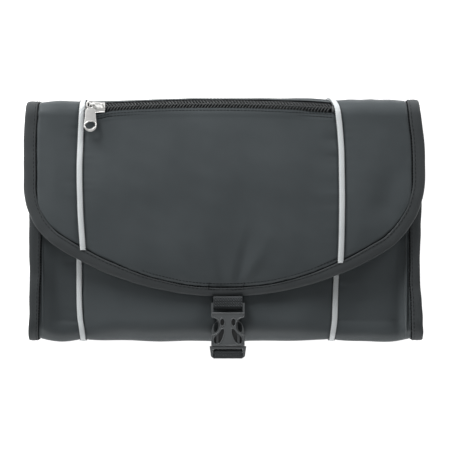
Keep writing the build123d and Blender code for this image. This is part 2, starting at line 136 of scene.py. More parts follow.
def cloth_piece(name, x, u, form, height, thick, material):
    """A closed piece of cloth: its right side, its wrong side set back by its thickness, and its edges."""
    rows, across = x.shape
    points = np.concatenate([form(x, u, height), form(x, u, height - thick)])
    place = np.arange(rows * across).reshape(rows, across)
    a, b, c, d = place[:-1, :-1], place[:-1, 1:], place[1:, 1:], place[1:, :-1]
    right = np.stack([a, b, c, d], -1).reshape(-1, 4)
    back = right[:, ::-1] + rows * across
    rim = np.concatenate([place[0, :], place[1:, -1], place[-1, -2::-1], place[-2:0:-1, 0]])
    after = np.roll(rim, -1)
    edge = np.stack([after, rim, rim + rows * across, after + rows * across], -1)
    flat = np.stack([x.ravel(), u.ravel()], -1)
    faces = np.concatenate([right, back, edge]).tolist()
    return make_piece(name, points, faces, np.concatenate([flat, flat]), material)


def unevenness(x, u, seed, size):
    """A gentle, irregular rise and fall between about -1 and 1, of this size in millimetres."""
    chance = np.random.default_rng(seed)
    total = 0 * x
    for _ in range(8):
        angle, phase = chance.uniform(0, 2 * math.pi, 2)
        pace = 2 * math.pi / size * chance.uniform(0.6, 1.5)
        total = total + np.sin((x * math.cos(angle) + u * math.sin(angle)) * pace + phase)
    return total / 3.4


def ease_in(value, start, end):
    """Goes smoothly from 0 at start to 1 at end."""
    t = np.clip((value - start) / (end - start), 0, 1)
    return t * t * (3 - 2 * t)


def nodes_of(name):
    """A new node material, with its shader, and a short way to add and join nodes."""
    material = bpy.data.materials.new(name)
    material.use_nodes = True
    tree = material.node_tree
    shader = tree.nodes["Principled BSDF"]

    def add(kind, **settings):
        node = tree.nodes.new(kind)
        for key, value in settings.items():
            if key in node.inputs:
                node.inputs[key].default_value = value
            else:
                setattr(node, key.lower(), value)
        return node

    def join(out, into):
        tree.links.new(out, into)

    return material, shader, add, join


def shade_between(add, join, factor, dark, light):
    """Mixes two colours by a factor from 0 to 1."""
    mix = add("ShaderNodeMix", DATA_TYPE="RGBA")
    mix.inputs[6].default_value = (*dark, 1)
    mix.inputs[7].default_value = (*light, 1)
    join(factor, mix.inputs[0])
    return mix.outputs[2]


def thread_waves(add, join, pitch_x, pitch_u):
    """A plain weave: threads going over and under each other, from -1 to 1."""
    threads = add("ShaderNodeUVMap", UV_MAP="threads")
    parts = add("ShaderNodeSeparateXYZ")
    join(threads.outputs["UV"], parts.inputs["Vector"])
    waves = []
    for name, pitch in (("X", pitch_x), ("Y", pitch_u)):
        scale = add("ShaderNodeMath", OPERATION="MULTIPLY")
        scale.inputs[1].default_value = math.pi / (pitch * mm)
        join(parts.outputs[name], scale.inputs[0])
        wave = add("ShaderNodeMath", OPERATION="SINE")
        join(scale.outputs[0], wave.inputs[0])
        waves.append(wave.outputs[0])
    over = add("ShaderNodeMath", OPERATION="MULTIPLY")
    join(waves[0], over.inputs[0])
    join(waves[1], over.inputs[1])
    return over.outputs[0]


def patches(add, join, scale, detail=3.0):
    """Soft patches over the whole object, from 0 to 1."""
    where = add("ShaderNodeTexCoord")
    noise = add("ShaderNodeTexNoise", Scale=scale, Detail=detail)
    join(where.outputs["Object"], noise.inputs["Vector"])
    return noise.outputs["Fac"]


def spread_to(add, join, value, low, high, start=0.0, end=1.0):
    """Takes a value that runs from start to end and spreads it from low to high."""
    span = add("ShaderNodeMapRange", **{"From Min": start, "From Max": end, "To Min": low, "To Max": high})
    join(value, span.inputs["Value"])
    return span.outputs["Result"]


def in_relief(add, join, height, strength, depth, over=None):
    """Relief of this depth in millimetres, which may lie over another relief."""
    bump = add("ShaderNodeBump", Strength=strength, Distance=depth * mm)
    join(height, bump.inputs["Height"])
    if over is not None:
        join(over, bump.inputs["Normal"])
    return bump.outputs["Normal"]


def woven(name, dark, light, pitch, depth, rough, sheen, gloss=0.3, pitch_u=None, show=0.14):
    """Woven cloth: threads in relief, a colour that drifts a little, and a soft sheen."""
    material, shader, add, join = nodes_of(name)
    weave = thread_waves(add, join, pitch, pitch_u or pitch)
    both = add("ShaderNodeMath", OPERATION="ADD", use_clamp=True)
    join(spread_to(add, join, weave, -show, show, -1.0, 1.0), both.inputs[0])
    join(spread_to(add, join, patches(add, join, 24.0), 0.14, 0.86, 0.3, 0.7), both.inputs[1])
    join(shade_between(add, join, both.outputs[0], dark, light), shader.inputs["Base Color"])
    worn = patches(add, join, 220.0, 2.0)
    join(spread_to(add, join, worn, rough - 0.07, rough + 0.07), shader.inputs["Roughness"])
    thread_relief = in_relief(add, join, weave, 0.55, depth)
    join(in_relief(add, join, worn, 0.5, 0.12, thread_relief), shader.inputs["Normal"])
    shader.inputs["Sheen Weight"].default_value = sheen
    shader.inputs["Sheen Roughness"].default_value = 0.45
    shader.inputs["Specular IOR Level"].default_value = gloss
    return material


coated_nylon = woven("coated_nylon", dark=(0.040, 0.0468, 0.050), light=(0.054, 0.0625, 0.0665),
                     pitch=0.42, depth=0.05, rough=0.50, sheen=0.08, gloss=0.14)

x, u = laid_out(-132.2, 132.2, -284.6, -132.2, 3.0)
edge_pull = ease_in(np.abs(x), 118, 129) + ease_in(u, -140, -132) + ease_in(-u, 276, 284)
back_height = -0.35 * edge_pull - 0.12 - 0.10 * unevenness(x, u, 3, 46)
back_cloth = cloth_piece("back_cloth", x, u, round_the_pouch, back_height, 0.8, coated_nylon)
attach(back_cloth, "bag")
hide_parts("back_panel")

# ---------------------------------------------------------------------------------------------
# A thin foam pad stiffens the back. It is cut flat, and its edges are nipped thin in the seams.
# The lining over it is a lighter woven polyester, which follows the pad.
x, u = laid_out(-127.2, 127.2, -284.0, -133.0, 4.0)
nipped = np.minimum(1, ease_in(127.6 - np.abs(x), 0, 9)) * ease_in(u, -284.6, -276) * ease_in(-u, 132.4, 141)
pad_thick = 0.45 + 1.05 * nipped + 0.07 * unevenness(x, u, 5, 60) * nipped
foam = woven("foam_pad", dark=(0.42, 0.42, 0.40), light=(0.52, 0.52, 0.50),
             pitch=0.9, depth=0.06, rough=0.85, sheen=0.0)
back_pad = cloth_piece("back_pad", x, u, round_the_pouch, -1.06 + 0 * x, pad_thick, foam)
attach(back_pad, "bag")
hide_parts("back_padding")

lining_cloth = woven("lining_cloth", dark=(0.048, 0.052, 0.056), light=(0.062, 0.067, 0.072),
                     pitch=0.5, depth=0.05, rough=0.5, sheen=0.14)
lining_back = cloth_piece("lining_back", x, u, round_the_pouch, -1.14 - pad_thick, 0.5, lining_cloth)
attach(lining_back, "bag")
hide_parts("back_lining")

# ---------------------------------------------------------------------------------------------
# Inside, a mesh pocket lies over the lining. It is knitted net with open holes, sewn in at the sides
# and bottom, and gathered along its top by a band of elastic.
net_wide, net_high, net_cell, net_bottom, net_lift = 253.0, 91.0, 3.8, -69.4, 3.6
row_share = 0.866  # rows of even triangles lie this share of a cell apart
corners, at = [], {}
for row in range(int(net_high / (net_cell * row_share)) + 1):
    for column in range(int(net_wide / net_cell) + 1):
        at[row, column] = len(corners)
        cx = -net_wide / 2 + column * net_cell + (net_cell / 2 if row % 2 else 0)
        cy = net_bottom + row * net_cell * row_share
        bulge = 0.5 * math.sin(math.pi * min(1, row / 26)) * math.cos(math.pi * cx / 270)
        rise = net_lift + bulge + 0.12 * math.sin(cx * 0.31)
        corners.append((min(cx, net_wide / 2) * mm, cy * mm, rise * mm))
triangles = []
for (row, column), here in at.items():
    shift = 1 if row % 2 else 0
    above_left, above_right = at.get((row + 1, column + shift - 1)), at.get((row + 1, column + shift))
    beside = at.get((row, column + 1))
    if above_left is not None and above_right is not None:
        triangles.append((here, above_right, above_left))
    if beside is not None and above_right is not None:
        triangles.append((here, beside, above_right))
mesh_net = bpy.data.meshes.new("mesh_pocket_net")
mesh_net.from_pydata(corners, [], triangles)
net = put_in_scene("mesh_pocket_net", mesh_net)
strands = net.modifiers.new("strands", "WIREFRAME")
strands.thickness, strands.use_even_offset = 0.55 * mm, False


def unwoven(name, dark, light, drift, rough, handled, skin, relief):
    """A finish with no weave: tones that drift, uneven gloss, and a fine skin in relief."""
    material, shader, add, join = nodes_of(name)
    join(shade_between(add, join, patches(add, join, drift), dark, light), shader.inputs["Base Color"])
    join(spread_to(add, join, patches(add, join, *handled), *rough), shader.inputs["Roughness"])
    join(in_relief(add, join, patches(add, join, *skin), *relief), shader.inputs["Normal"])
    return material, shader


knit, _ = unwoven("knitted_net", dark=(0.012, 0.013, 0.014), light=(0.028, 0.030, 0.032), drift=300.0,
                  rough=(0.45, 0.75), handled=(2600.0, 2.0), skin=(2600.0, 2.0), relief=(0.5, 0.1))
net.data.materials.append(knit)
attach(net, "bag")
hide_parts("mesh_pocket")

x, u = laid_out(-127.0, 127.0, 21.4, 32.3, 0.9)


def flat_inside(x, y, h):
    """Lays cloth flat over the back's lining."""
    return np.stack([x, y, h], -1) * mm


gathers = 0.34 * np.sin(x * 2.3 + 0.8 * np.sin(u * 0.9)) * (1 - 0.6 * ease_in(u, 27, 32))
ribbed_elastic = woven("ribbed_elastic", dark=(0.020, 0.022, 0.024), light=(0.034, 0.036, 0.038),
                       pitch=0.7, pitch_u=0.35, depth=0.09, rough=0.6, sheen=0.1)
elastic = cloth_piece("pocket_elastic", x, u, flat_inside, 4.5 + gathers, 1.1, ribbed_elastic)
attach(elastic, "bag")
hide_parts("mesh_pocket_elastic")

# ---------------------------------------------------------------------------------------------
# The pouch is a strip of the same nylon in three widths, run down the front and round the bottom.
# It is a soft shell: full between its seams, drawn in beside them, and pressed flat under the buckle.


def follows(ys, xs):
    """A seam's place across the bag, as a smooth curve through what was measured along it."""
    ys, xs = np.array(ys, float), np.array(xs, float)
    fine = np.linspace(ys[0], ys[-1], 160)
    near = np.interp(fine, ys, xs)
    pad = np.pad(near, 10, mode="edge")
    smooth = np.convolve(pad, np.hanning(21) / np.hanning(21).sum(), mode="valid")
    return lambda u: np.interp(u, fine, smooth)


pouch_cord_left = follows([-94, -84, -80, -73, -64, -49, -26, 70],
                          [-99.8, -99.9, -100.5, -101.3, -102.0, -102.2, -102.1, -102.0])
pouch_cord_right = follows([-94, -84, -80, -70, -56, -38, -10, 70],
                           [75.6, 76.0, 76.9, 77.6, 77.8, 78.7, 78.3, 78.0])
flange_seam_left = follows([-94, -84, -66, -46, -38, -30, -9, 70],
                           [-131.6, -131.3, -130.6, -130.2, -129.0, -129.5, -128.7, -128.5])
flange_seam_right = follows([-94, -84, -66, -52, -44, -36, -20, 70],
                            [132.4, 132.0, 131.4, 131.2, 130.0, 130.6, 130.3, 129.6])


def beside(edge, out):
    """A line that keeps to one side of a seam."""
    return lambda u: edge(u) + out


def mound(off, wide):
    """1 on a line, falling away smoothly to both sides of it."""
    return np.exp(-((off / wide) ** 2))


def stretch(value, start, full, waning, end):
    """Goes smoothly from 0 at start to 1 at full, and from waning back to 0 at end."""
    return ease_in(value, start, full) * (1 - ease_in(value, waning, end))


strap_x, in_seam = 2.4, 1.5  # the middle of the strap, and how far a panel stops short of a cord's middle


def pouch_fullness(x, u, left, right, seed):
    """How far the pouch's cloth stands out between two seams, in millimetres."""
    across = np.clip((x - left(u)) / (right(u) - left(u)), 0, 1)
    inward = np.minimum(across, 1 - across) * (right(u) - left(u))
    full = 1 - (1 - np.clip(inward / 16, 0, 1)) ** 2
    crown = 0.75 * np.sin(math.pi * across) ** 0.7
    roll = stretch(-u, 52, 80, 104, 128)
    height = full * (crown * (1 + 0.9 * roll) - 0.15) + full * 0.42 * unevenness(x, u * 0.7, seed, 44)
    pucker = 0.26 * np.exp(-inward / 5) * unevenness(x * 0.2, u * 2.2, seed + 9, 11)
    pressed = np.exp(-(((x - strap_x) / 17) ** 4)) * stretch(-u, 40, 58, 84, 100)
    height = (height + pucker) * (1 - 0.9 * pressed) - 0.7 * mound(inward, 1.3)
    height = height * (1 - 0.6 * ease_in(u, 40, 66)) * (1 - 0.8 * ease_in(-u, 100, 114))
    return np.minimum(height, 1.15 + 3 * ease_in(-u, 60, 76) - 4.15 * ease_in(-u, 96, 114))


def sink_beside_flange(x, u, edge):
    """The hollow where a side panel turns down to its gusset seam."""
    reach, depth = 6, 1.7
    inward = np.abs(x - edge(u))
    return -depth * np.exp(-((inward / reach) ** 1.3)) * (1 - ease_in(-u, 86, 120))


panels = {
    "pouch_left": (beside(flange_seam_left, -0.8), beside(pouch_cord_left, -in_seam), 11),
    "pouch_centre": (beside(pouch_cord_left, in_seam), beside(pouch_cord_right, -in_seam), 23),
    "pouch_right": (beside(pouch_cord_right, in_seam), beside(flange_seam_right, 0.8), 37),
}
for name, (left, right, seed) in panels.items():
    x, u = laid_out(left, right, -131.8, 69.2, 1.7)
    height = pouch_fullness(x, u, left, right, seed)
    if name != "pouch_centre":
        height = height + sink_beside_flange(x, u, left if name == "pouch_left" else right)
    cloth = cloth_piece(f"{name}_cloth", x, u, round_the_pouch, height - 0.1, 0.85, coated_nylon)
    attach(cloth, "bag")
    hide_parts(f"{name}_panel")

# ---------------------------------------------------------------------------------------------
# The piping is a pale cord in a woven cover, caught in the seam between two panels by a row of
# small dark stitches down each side. Here it runs down the pouch's front and under the bottom.


def tube_faces(rows, around):
    """The numbering of a tube's points, ring by ring, and its faces with a cap at each end."""
    place = np.arange(rows * around).reshape(rows, around)
    after = np.roll(place, -1, axis=1)
    faces = np.stack([place[:-1], after[:-1], after[1:], place[1:]], -1).reshape(-1, 4).tolist()
    return place, faces + [place[0, ::-1].tolist(), place[-1].tolist()]


def swept(name, line_x, line_u, in_x, in_u, section, form, material, wide=1.0, lift=0.0, sharp=50):
    """A cut section carried along a seam. The section is (distance in, height) pairs round its outline."""
    d, h = np.array(section, float).T
    wide, lift = np.zeros_like(line_x) + wide, np.zeros_like(line_x) + lift
    x = line_x[:, None] + (in_x * wide)[:, None] * d
    u = line_u[:, None] + (in_u * wide)[:, None] * d
    points = form(x, u, h + lift[:, None])
    _, faces = tube_faces(*x.shape)
    travelled = np.concatenate([[0], np.cumsum(np.hypot(np.diff(line_x), np.diff(line_u)))])
    girth = np.concatenate([[0], np.cumsum(np.hypot(np.diff(d) * wide.mean(), np.diff(h)))])
    flat = np.stack(np.broadcast_arrays(girth[None, :], travelled[:, None]), -1).reshape(-1, 2)
    return outward(make_piece(name, points, faces, flat, material, sharp))


def outward(piece):
    """Turns all of a closed piece's faces to look outward."""
    work = bmesh.new()
    work.from_mesh(piece.data)
    bmesh.ops.recalc_face_normals(work, faces=work.faces)
    work.to_mesh(piece.data)
    work.free()
    return piece


def stitches(name, x, u, form, height, pitch, length, wide, material):
    """A row of sewn stitches lying along a line, each one a short plump thread."""
    points = form(x, u, height + 0 * x)
    step = np.linalg.norm(np.diff(points, axis=0), axis=1)
    along = np.concatenate([[0], np.cumsum(step)])
    starts = np.arange(0.3 * pitch * mm, along[-1] - length * mm, pitch * mm)

    def at(distance, rows):
        return np.stack([np.interp(distance, along, rows[:, k]) for k in range(3)], -1)

    up = form(x, u, height + 1 + 0 * x) - points
    first, last = at(starts, points), at(starts + length * mm, points)
    mid, ahead = (first + last) / 2, (last - first) / 2
    out = at(starts, up)
    out /= np.linalg.norm(out, axis=1)[:, None]
    aside = np.cross(out, ahead)
    aside /= np.linalg.norm(aside, axis=1)[:, None]
    turns = np.arange(6) * math.pi / 3
    verts, faces, each = [], [], 20
    for ring, girth in ((-1.0, 0.0), (-0.72, 0.8), (0.0, 1.0), (0.72, 0.8), (1.0, 0.0)):
        for turn in turns if girth else turns[:1]:
            around = aside * math.cos(turn) + out * math.sin(turn) * 0.8
            verts.append(mid + ahead * ring + around * girth * wide / 2 * mm)
    verts = np.stack(verts, 1)
    for k in range(6):
        n = (k + 1) % 6
        faces += [(0, 1 + n, 1 + k), (1 + k, 1 + n, 7 + n, 7 + k)]
        faces += [(7 + k, 7 + n, 13 + n, 13 + k), (13 + k, 13 + n, 19)]
    count = len(starts)
    every = [tuple(v + each * s for v in face) for s in range(count) for face in faces]
    flat = np.zeros((count * each, 2))
    return make_piece(name, verts, every, flat, material, 180)


def sewn_on(name, rows, body=None, blend=None):
    """Joins rows of stitches into one piece, hung on the body it is sewn through, or left where it lies when a
    fold is given.
    """
    with bpy.context.temp_override(active_object=rows[0], selected_editable_objects=rows):
        bpy.ops.object.join()
    rows[0].name = name
    if blend:
        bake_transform(rows[0])
    else:
        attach(rows[0], body)


piping_cover = woven("piping_cover", dark=(0.46, 0.485, 0.495), light=(0.61, 0.635, 0.645),
                     pitch=1.15, pitch_u=1.3, depth=0.20, rough=0.42, sheen=0.15, gloss=0.4)
# Dark thread for every row of stitches. The same colour also paints the shadow lines laid in the grooves
# beside the tapes.
dark_thread_and_shade = woven("dark_thread_and_shade", dark=(0.006, 0.0065, 0.007), light=(0.014, 0.015, 0.016),
                    pitch=0.22, depth=0.04, rough=0.7, sheen=0.0, gloss=0.04)
cord_section = [(2.2, -0.55), (2.12, 0.10), (1.62, 0.62), (0.85, 0.86), (0, 0.92), (-0.85, 0.86),
                (-1.62, 0.62), (-2.12, 0.10), (-2.2, -0.55), (-1.1, -0.9), (1.1, -0.9)]
cord_stitch = {"pitch": 1.6, "length": 1.05, "wide": 0.78, "material": dark_thread_and_shade}
cord_stitch_out, cord_stitch_up = 2.02, 0.26
rows_sewn = []
for name, cord in (("left", pouch_cord_left), ("right", pouch_cord_right)):
    u = np.arange(69.0, -131.5, -0.8)
    x = cord(u)
    lift = np.where(u > 20, -0.25, -0.75 * ease_in(-u, 99, 112))
    piece = swept(f"pouch_piping_{name}_cord", x, u, np.ones_like(u), 0 * u, cord_section, round_the_pouch,
                  piping_cover, lift=lift)
    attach(piece, "bag")
    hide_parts(f"pouch_piping_{name}")
    for side in (-1, 1):
        rows_sewn.append(stitches(f"row_{name}_{side}", x + side * cord_stitch_out, u, round_the_pouch,
                                  lift + cord_stitch_up, **cord_stitch))
sewn_on("pouch_piping_stitches", rows_sewn, body="bag")

# ---------------------------------------------------------------------------------------------
# At each side the strip, the back and the gusset come together in one bound seam, which stands out
# as a flange: woven tape folded over the raw edges, a little wavy, and pointed at the bottom corners.
binding_tape = woven("binding_tape", dark=(0.032, 0.0356, 0.0375), light=(0.046, 0.0505, 0.0528),
                     pitch=0.34, pitch_u=1.0, depth=0.06, rough=0.62, sheen=0.08, gloss=0.12)
flange_edge_left = follows([-292, -200, -140, -94, -85, -78, -60, -40, -20, 0, 70],
                           [-137.0, -137.0, -137.0, -138.2, -138.6, -137.5, -137.0, -136.8, -137.2, -137.2,
                            -137.0])
flange_edge_right = follows([-292, -200, -140, -108, -94, -85, -73, -60, -46, -34, -22, -10, 15, 70],
                            [137.0, 137.0, 137.2, 139.2, 140.0, 140.0, 139.6, 138.8, 137.5, 136.8, 137.2,
                             137.9, 138.4, 138.0])
folded = [(1.0, -0.70), (0.985, 0.10), (0.93, 0.36), (0.80, 0.16), (0.55, 0.36), (0.30, 0.30), (0.10, 0.02),
          (0.02, -0.4), (0.0, -1.0), (0.02, -1.6), (0.10, -2.0), (0.5, -2.1), (1.0, -2.1)]
tape_stitch = {"pitch": 3.0, "length": 2.1, "wide": 0.42, "material": dark_thread_and_shade}
stitch_share = 0.82  # of the tape's width, from its outer edge
rows_sewn = []
for side, name, edge, seam in ((-1, "left", flange_edge_left, flange_seam_left),
                               (1, "right", flange_edge_right, flange_seam_right)):
    u = np.arange(70.4, -284.6, -1.0)
    x = edge(u) + 0.16 * unevenness(u, 0 * u, 60 + side, 17)
    wide = np.abs(x - np.where(u > -96, seam(u), seam(-96.0)))
    rise = 0.22 * unevenness(u, 0 * u, 70 + side, 21) * (1 - ease_in(-u, 104, 126))
    rise = rise - 0.45 * ease_in(-u, 116, 132)
    rise = rise - (0.6 * mound(u + 38, 5) if side < 0 else 0.5 * mound(u + 45, 6))
    piece = swept(f"seam_tape_{name}", x, u, -side + 0 * u, 0 * u, folded, round_the_pouch, binding_tape,
                  wide, rise)
    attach(piece, "bag")
    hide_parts(f"seam_binding_{name}")
    inner = x - side * wide * stitch_share
    rows_sewn.append(stitches(f"row_{name}", inner, u, round_the_pouch, 0.17 + rise, **tape_stitch))
    # The dense dark row laid in the groove beside the tape is a painted shadow line. Real stitches lie there,
    # but the near-solid dark strip stands in for the shade where the panel drops under the tape's edge.
    front = u > -108
    painted_shade_line = (x - side * (wide + 0.35))[front]
    rows_sewn.append(stitches(f"groove_{name}", painted_shade_line, u[front], round_the_pouch, rise[front] - 0.7,
                              pitch=1.9, length=1.85, wide=1.05, material=dark_thread_and_shade))
sewn_on("seam_tape_stitches_and_shade_lines", rows_sewn, body="bag")

# ---------------------------------------------------------------------------------------------
# The gussets close the pouch's two ends. Each is one piece of nylon from the front seam to the back
# seam, with a crease down its middle where it folds inward as the bag flattens.


def inside_end(side):
    """A form for one gusset: u runs from the mouth down, and q from the front seam to the back seam."""
    def form(q, u, h):
        front = round_the_pouch(131 + 0 * u, u, -1.1 + 0 * u) / mm
        back_u = np.interp(u, [-93.3, -69.7, 70.0], [-108.6, -132.3, -284.0])
        back = round_the_pouch(131 + 0 * u, back_u, -1.1 + 0 * u) / mm
        place = front + (back - front) * q[..., None]
        deep = 5.2 * (1 - np.abs(2 * q - 1)) ** 0.85 * ease_in(u, -92, -50)
        across = side * (128.3 - deep + h)
        return np.stack([across, place[..., 1], place[..., 2]], -1) * mm
    return form


gusset_deep = 45
for side, name in ((-1, "left"), (1, "right")):
    q, u = np.meshgrid(np.linspace(0, 1, 24), np.arange(69.0, -93.3, -2.5))
    wrinkle = 0.5 * np.sin(math.pi * q) * unevenness(q * gusset_deep, u, 81 + side, 30)
    piece = cloth_piece(f"gusset_{name}_cloth", q, u, inside_end(side), wrinkle, 0.8, coated_nylon)
    threads = piece.data.uv_layers["threads"]
    uv = np.zeros(len(threads.data) * 2, np.float32)
    threads.data.foreach_get("uv", uv)
    uv[0::2] *= gusset_deep
    threads.data.foreach_set("uv", uv)
    outward(piece)
    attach(piece, "bag")
    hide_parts(f"gusset_{name}")

# ---------------------------------------------------------------------------------------------
# The pouch is lined inside its front, and the mouth is finished with the same tape as the sides:
# folded over the raw edges of panel and lining, and stitched through near its lower edge.
x, u = laid_out(-127.0, 127.0, -128.0, 62.6, 4.0)
front_loose = 0.25 * unevenness(x, u, 91, 70) * ease_in(127 - np.abs(x), 0, 12)
lining_front = cloth_piece("lining_front", x, u, round_the_pouch, -1.35 - np.abs(front_loose), 0.45,
                           lining_cloth)
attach(lining_front, "bag")
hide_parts("front_lining")

x = np.arange(-128.2, 128.3, 2.0)
lip = [(0, -0.1), (0.15, 0.34), (0.9, 0.44), (2.2, 0.26), (5, 0.36), (7.8, 0.25), (8.6, -0.2), (8.75, -0.9),
       (8.5, -1.6), (7.8, -2.0), (4, -2.1), (0.3, -2.1), (0, -1.7)]
u = 62.0 + 0.2 * unevenness(x, 0 * x, 95, 30)
mouth_tape = swept("mouth_tape", x, u, 0 * x, np.ones_like(x), lip, round_the_pouch, binding_tape)
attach(mouth_tape, "bag")
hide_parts("mouth_binding")
row = stitches("row", x, u + 1.9, round_the_pouch, 0.29, **tape_stitch)
sewn_on("mouth_stitches", [row], body="bag")

# ---------------------------------------------------------------------------------------------
# The flap's face is three panels of the same nylon, which run over the top fold and down the front.
# The strap pulls at the long curved edge, so soft folds fan up from it, and the seams pucker a little.


def over_the_top(x, u, h):
    """Lays flat cloth up the flap's face, round its top corner, down the spine and under to the back."""
    face_z, lengths_and_turns = 50.0, [(72.7, 0), (18.85, -90), (36.0, 0), (3.14, -90), (100, 0)]
    x, u = np.broadcast_arrays(x, u)
    y, z, ny, nz = side_outline(u, 0.0, face_z, 0, lengths_and_turns, 1)
    # The top fold sags toward both ends, most at the left, and stands up a little between them.
    low = (1.9 * ease_in(-x, 15, 90) + 0.7 * ease_in(x, 50, 96)) * stretch(u, 79, 90, 110, 124)
    low = low - stretch(x, -132, -108, 60, 84) * stretch(u, 79, 88, 106, 122)
    # It is drawn in at both ends, most at the right.
    narrow = 4.0 * ease_in(x, 84, 141) * ease_in(u, 44, 88) - 1.6 * ease_in(-x, 100, 141) * ease_in(u, 56, 88)
    # The face stands out in its middle, and falls away to the bound edge and toward the top.
    from_edge = np.minimum(141.0 - np.abs(x), 0.9 * (u + 53.6 - (x / 26) ** 2 * 0.5))
    swell = 2.9 * (1 - (1 - np.clip(from_edge / 46, 0, 1)) ** 2)
    swell = swell - 0.6 * (1 - np.clip(from_edge / 22, 0, 1)) ** 2
    h = h + 1.5 * swell * (1 - ease_in(u, 14, 80))
    return np.stack([x - narrow, y + ny * h - low, z + nz * h], -1) * mm


spine_middle, spine_end, flap_half, panel_side = 108.5, 131.4, 140.7, 133.4
upper_fold = ("spine", "flap", (0, 0.0835, 0.036), (0, 0.0825, 0.045))
lower_fold = ("bag", "spine", (0, 0.078, 0.0), (0, 0.0845, 0.008))
flap_cord_left = follows([-45, -17, 3, 26, 38, 70, 88, 100, 131],
                         [-98.0, -99.2, -100.6, -101.3, -101.4, -100.2, -99.1, -98.9, -98.9])
flap_cord_right = follows([-45, -27, -14, 14, 49, 63, 73.5, 80, 85, 89, 95, 131],
                          [80.6, 81.3, 81.8, 82.2, 81.8, 80.9, 79.8, 79.0, 77.0, 74.9, 73.8, 73.6])

# The flap's edge is three arcs: a wide one along the bottom, and a tighter one at each corner.
bottom_u, bottom_round = 162.4, 216
left_x, left_u, left_round = -90.7, 23.37, 50
right_x, right_u, right_round = 78.7, 30.02, 62
left_share, right_share = -0.5464, 0.511  # of the bottom's radius, where each corner takes over


def tape_width(x):
    """How much of the flap's edge the binding covers, which is less at the bottom than at the sides."""
    return 6.0 + 2.6 * ease_in(np.abs(x - 2), 25, 105)


def flap_low(tuck):
    """The lower end of the flap's cloth for each place across it, reaching under the binding by tuck."""
    def low(x):
        cut = tape_width(x) - tuck
        bottom = bottom_u - np.sqrt((bottom_round - cut) ** 2 - x**2)
        left = left_u - np.sqrt(np.maximum((left_round - cut) ** 2 - (x - left_x) ** 2, 0))
        right = right_u - np.sqrt(np.maximum((right_round - cut) ** 2 - (x - right_x) ** 2, 0))
        bottom = np.where(x > right_share * (bottom_round - cut), right, bottom)
        return np.where(x < left_share * (bottom_round - cut), left, bottom)
    return low


def zip_bow(x):
    """How far the zip's line rises in the middle and drops at its ends."""
    return 3.4 * np.maximum(0, 1 - ((x + 9.6) / 88) ** 2) - 0.8


slider_x = -89.1


def hem_line(x):
    """The turned edge of the cloth below the zip, which the slider pushes aside."""
    return 75.65 + zip_bow(x) - 1.5 * mound(x - slider_x, 7)


def strap_folds(x, u):
    """Soft folds that fan up the cloth from where the strap is sewn."""
    height, strap_u = 0 * x, -64
    for angle, rise, reach, wide in (
            (-52, 0.5, 60, 7), (-38, -0.8, 66, 5), (-22, 0.8, 66, 6), (-9, -0.9, 56, 4), (3, 0.9, 60, 5),
            (17, -1.5, 78, 3.6), (27, 1.0, 74, 5), (40, -0.9, 60, 5), (52, 0.6, 60, 7)):
        a = math.radians(angle)
        away = (x - strap_x) * math.sin(a) + (u - strap_u) * math.cos(a)
        off = (x - strap_x) * math.cos(a) - (u - strap_u) * math.sin(a)
        span = wide * (0.55 + away / 70) * (1.35 + 0.45 * np.sign(-rise) * np.tanh(off / 4))
        body = mound(off, span) * ease_in(away, 9, 20)
        height = height + rise * body * (1 - ease_in(away, reach * 0.45, reach))
    return height


def flap_fullness(x, u, left, right, low, top, seed):
    """How far a flap panel stands out of its seams, in millimetres."""
    from_side = np.minimum(x - left(u), right(u) - x)
    from_end = np.minimum(u - low(x), np.maximum(top(x) - u, 0))
    near = np.clip(np.minimum(from_side, from_end * 0.8) / 15, 0, 1)
    full = 1 - (1 - near) ** 2
    wide = (right(u) - left(u)) / 2
    crown = 0.7 + 0.55 * np.clip(from_side / wide, 0, 1)
    slack = 0.34 * unevenness(x * 0.9, u * 0.55, seed, 47) + 0.10 * unevenness(x, u, seed + 5, 19)
    height = full * crown + full * slack
    needle = 0.20 * np.exp(-from_side / 4) * unevenness(x * 0.15, u * 2.0, seed + 9, 10)
    needle = needle + 0.20 * np.exp(-(u - low(x)) / 4) * unevenness(x * 2.0, u * 0.15, seed + 12, 10)
    return height + needle - 0.55 * mound(from_side, 1.3) - 0.25


def straight(place):
    """An edge that keeps to one place all along."""
    return lambda along: place + 0 * along


panel_edges = {
    "left": (straight(-panel_side), beside(flap_cord_left, -in_seam)),
    "centre": (beside(flap_cord_left, in_seam), beside(flap_cord_right, -in_seam)),
    "right": (beside(flap_cord_right, in_seam), straight(panel_side)),
}
flap_panels = {
    "flap_left": (*panel_edges["left"], straight(spine_middle), 111, "left"),
    "flap_centre": (*panel_edges["centre"], hem_line, 135, None),
    "flap_right": (*panel_edges["right"], straight(spine_middle), 152, "right"),
}
panel_tuck = 1.3  # how far the panels reach under the binding


